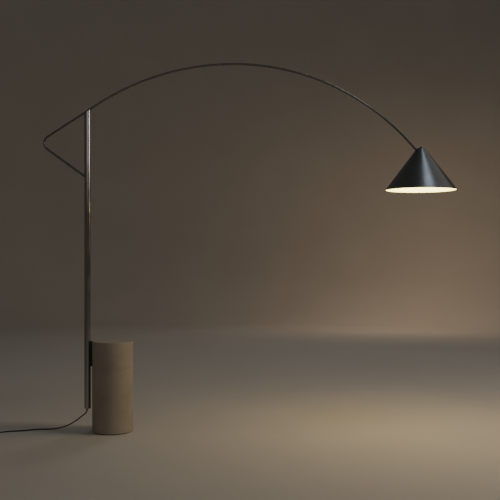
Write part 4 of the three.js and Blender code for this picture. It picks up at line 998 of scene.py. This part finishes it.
# %% Foot switch
def rounded_box(name, length, width, corner, foot, top, edge):
    """A box with rounded corners round the middle of the foot switch."""
    outline = []
    for k, (along, across) in enumerate([(1, 1), (-1, 1), (-1, -1), (1, -1)]):
        corner_x = switch_at[0] + along * (length / 2 - corner)
        corner_y = switch_at[1] + across * (width / 2 - corner)
        for a in (math.pi / 2 * (k + i / 8) for i in range(9)):
            outline.append((corner_x + corner * math.cos(a), corner_y + corner * math.sin(a)))
    return soft_edged(prism(name, outline, foot, top), edge, 4, 50)


def joined(name, *pieces):
    """Several pieces made one."""
    whole = bmesh.new()
    for piece in pieces:
        whole.from_mesh(piece.data)
        bpy.data.objects.remove(piece)
    mesh = bpy.data.meshes.new(name)
    whole.to_mesh(mesh)
    whole.free()
    return show(name, mesh)


cover_low, cover_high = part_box("foot_switch_cover")
switch_at = ((cover_low.x + cover_high.x) / 2, (cover_low.y + cover_high.y) / 2)
SWITCH_L, SWITCH_W = cover_high.x - cover_low.x, cover_high.y - cover_low.y
SPLIT, ENTRY_Z, BUTTON_R = 10 * MM, 5.2 * MM, 12 * MM


def sleeve(start_x, toward, y, z):
    """A grooved sleeve along X, from a housing's wall to its tip."""
    run = [(r, start_x + toward * h) for r, h in sleeve_profile(4.6 * MM, 3.9 * MM, 20 * MM, 5, -1.5 * MM)]
    return lathe("sleeve", run, (0, y, z), 40, "X")


switch_base = joined(
    "switch_base_fine",
    rounded_box("case", SWITCH_L, SWITCH_W, 10 * MM, 0, SPLIT, 1.0 * MM),
    sleeve(cover_high.x, 1, switch_at[1], ENTRY_Z),
    sleeve(cover_low.x, -1, switch_at[1], ENTRY_Z),
)
COVER_WALL, WELL_GAP = 2 * MM, 0.4 * MM
switch_cover = rounded_box(
    "switch_cover_fine", SWITCH_L, SWITCH_W, 10 * MM, cover_low.z, cover_high.z, 3.0 * MM
)
inside = [size - 2 * COVER_WALL for size in (SWITCH_L, SWITCH_W)]
room = rounded_box("room", *inside, 8 * MM, cover_low.z - 5 * MM, cover_high.z - COVER_WALL, 1 * MM)
well = disc("well", BUTTON_R + WELL_GAP, SPLIT, 30 * MM, centre=(*switch_at, 0), sides=72)
cut_with(switch_cover, room, well)

button_low, button_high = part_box("foot_switch_button")
flange_r, flange_z, button_top = BUTTON_R + 2 * MM, cover_high.z - 2.3 * MM, button_high.z
profile = [(0, button_low.z), (BUTTON_R, button_low.z), (BUTTON_R, flange_z - 2 * MM)]
profile += [(flange_r, flange_z - 2 * MM), (flange_r, flange_z), (BUTTON_R, flange_z)]
for inset, drop in ((0, 2.2), (0.5, 1.1), (1.6, 0.6)):
    profile.append((BUTTON_R - inset * MM, button_top - drop * MM))
for t in (1 - (i + 1) / 24 for i in range(24)):
    ripple = 0.25 + 0.25 * math.cos(2 * math.pi * 6 * t) + 0.2 * t
    profile.append((t * (BUTTON_R - 1.8 * MM), button_top - ripple * MM))
button = lathe("switch_button_fine", profile, (*switch_at, 0), 96)
dress(switch_base, "black_plastic", "foot_switch_base")
dress(switch_cover, "black_plastic", "foot_switch_cover")
dress(button, "black_plastic", "foot_switch_button", body="foot_button")

# %% [markdown]
# The plug is moulded on, so its body swells smoothly out of the sleeve. A loft does that: sections in a
# row, each a little wider than the last. Two round pins stand out of its flat face.

# %% Plug
plug_low, plug_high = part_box("plug")
PLUG_Y, PLUG_Z, PLUG_TIP = (plug_low.y + plug_high.y) / 2, plug_high.z / 2, plug_low.x
PIN_APART, PIN_R, BODY_END = 19 * MM, 2 * MM, -757 * MM


def loft(name, sections):
    """A closed body through superellipse sections, each (x, half width, half height, squareness)."""
    rings = []
    for x, half_w, half_h, squareness in sections:
        ring = [squared(a, 2 / squareness) for a in angles(64)]
        rings.append([(x, PLUG_Y + half_w * c, PLUG_Z + half_h * s) for c, s in ring])
    return skinned(name, rings, smooth_below=50)


body_start = PLUG_TIP + 20 * MM
swell = [
    (0, 4.8, 4.8, 2), (2, 6.2, 5.4, 2.1), (5, 10.5, 6.3, 2.4), (9, 14.6, 6.8, 2.9), (14, 16.6, 6.95, 3.4),
    (20, 17, 7, 3.8), (32, 17, 7, 3.8), (33.8, 16.8, 6.85, 3.8), (34.7, 16.2, 6.3, 3.8), (35, 15.6, 5.8, 3.8),
]
plug_case = loft("case", [(body_start + x * MM, w * MM, h * MM, power) for x, w, h, power in swell])
plug_body = joined("plug_body_fine", plug_case, sleeve(body_start, -1, PLUG_Y, PLUG_Z))
pins = []
for y in (PLUG_Y - PIN_APART / 2, PLUG_Y + PIN_APART / 2):
    run = PIN_R, BODY_END - 1 * MM, plug_high.x
    pins.append(disc("pin", *run, high=1.0 * MM, centre=(0, y, PLUG_Z), sides=32, axis="X"))
plug_pins = joined("plug_pins_fine", *pins)
dress(plug_body, "black_plastic", "plug")
dress(plug_pins, "brass")

# %% [markdown]
# A strap holds the coil: a thin band closed once round the bundle, a slab swept round a squarish ring.

# %% Coil tie
tie_low, tie_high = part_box("coil_tie")
STRAP_T, STRAP_W = 0.8 * MM, 12 * MM
tie_mid_x, tie_mid_z = (tie_low.x + tie_high.x) / 2, (tie_low.z + tie_high.z) / 2
half_x, half_z = (tie_high.x - tie_low.x) / 2 - STRAP_T, (tie_high.z - tie_low.z) / 2 - STRAP_T


def strap_ring(a):
    """The strap's cross-section at one angle round the bundle."""
    c, s = squared(a, 0.28)
    reach = Vector((half_x * c, 0, half_z * s))
    under, lift = Vector((tie_mid_x, COIL_CENTRE.y, tie_mid_z)) + reach, reach.normalized() * STRAP_T * 0.9
    side = Vector((0, STRAP_W / 2, 0))
    return [under - side, under + lift - side, under + lift + side, under + side]


coil_tie = skinned("coil_tie_fine", [strap_ring(a) for a in angles(120, -0.9)], closed=True)
dress(soft_edged(coil_tie, 0.2 * MM, 2), "black_plastic", "coil_tie")

# %% [markdown]
# The cord gets its finish and body last, when the pieces that lie on it exist, and stands in for the
# frame's cord nodes.

dress(mains_cord, "black_rubber", "cord_to_switch", "cord_to_coil", "cord_coil", "cord_to_plug")

# %% [markdown]
# ## Inside parts
# The rest of the frame's nodes already have the right shape: nuts, bushes, washers, leads and the yoke. Each
# keeps its mesh and gets the finish that its record names.

# %% Finishes for the kept nodes
for part in frame["record"]["subparts"]:
    mesh = nodes[part["node"]].data
    mesh.materials.clear()
    mesh.materials.append(finishes[part["material_slot"]])
print("kept nodes:", sum(not node.hide_render for node in nodes.values()))

# %% [markdown]
# ## Floor and light
# The lamp stands on a plain pale floor that curves up far away into a plain backdrop all round, so it can be
# seen from any side. The light is soft. A panel on the right draws the bright lines down the mast and the
# stone, a small cool one above the shade draws the streak down the cone, and wide weak ones in front and
# behind keep the far sides readable. The lamp's own light is a panel under its diffuser that rides with it.

# %% Floor and backdrop
FLOOR_R, COVE_R, WALL_H = 7.5, 2.5, 6.0
bend_angles = [math.pi / 2 * i / 16 for i in range(17)]
cove = [(FLOOR_R + COVE_R * math.sin(a), COVE_R * (1 - math.cos(a))) for a in bend_angles]
room_profile = [(0, 0), *cove, (FLOOR_R + COVE_R, WALL_H)]
outer = [(r + 0.1, h - 0.1) for r, h in reversed(room_profile[1:])]
studio = lathe("studio_floor", [*room_profile, *outer, (0, -0.1)], sides=96)
tree, shader = finish_of("studio_floor", Roughness=0.85, Specular_IOR_Level=0.2)
surface = effect(tree, grain, Cloud_Scale=1.2, Speck_Scale=250.0)
colour = mottled(tree, surface, rgb(0.585, 0.55, 0.50), rgb(0.615, 0.58, 0.53))
drive(tree, shader, colour, height=surface["Height"], bump=0.05)
studio.data.materials.append(finishes["studio_floor"])


# %% Lights
def panel(name, place, target, width, height, power, colour):
    light = bpy.data.lights.new(name, "AREA")
    light.shape, light.size, light.size_y = "RECTANGLE", width, height
    light.energy, light.color = power, colour
    lamp = add_object(name, light)
    lamp.location, lamp.visible_camera = place, False
    lamp.rotation_euler = (Vector(target) - Vector(place)).to_track_quat("-Z", "Y").to_euler()
    return lamp


panel("side", (5.0, -1.0, 2.55), (0, 0, 0.5), 1.0, 1.1, 33, (1.0, 0.92, 0.80))
panel("above_shade", (2.24, -0.58, 3.15), (1.75, 0, 1.45), 0.6, 0.6, 3.6, (0.78, 0.89, 1.0))
panel("above_arm", (3.6, 1.1, 3.9), (1.5, 0, 1.75), 2.4, 2.0, 4.5, (1.0, 0.96, 0.90))
panel("fill", (1.0, -7.0, 3.4), (0.6, 0, 0.9), 6.0, 2.6, 22, (0.96, 0.97, 1.0))
panel("back", (2.6, 6.0, 4.8), (0.6, 0, 0.8), 1.6, 1.6, 30, (1.0, 0.95, 0.90))
panel("wash", (2.9, 6.4, 2.0), (3.0, 8.3, 0), 1.6, 0.9, 15, (1.0, 0.72, 0.48))
glow = panel("glow", (pivot.x, 0, opal_low.z - 4 * MM), (pivot.x, 0, 0), 0.30, 0.30, 5, (1.0, 0.64, 0.34))
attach(glow, "shade")
world = bpy.data.worlds.new("room")
world.use_nodes = True
world.node_tree.nodes["Background"].inputs["Color"].default_value = (0.50, 0.48, 0.45, 1)
world.node_tree.nodes["Background"].inputs["Strength"].default_value = 0.15
bpy.context.scene.world = world
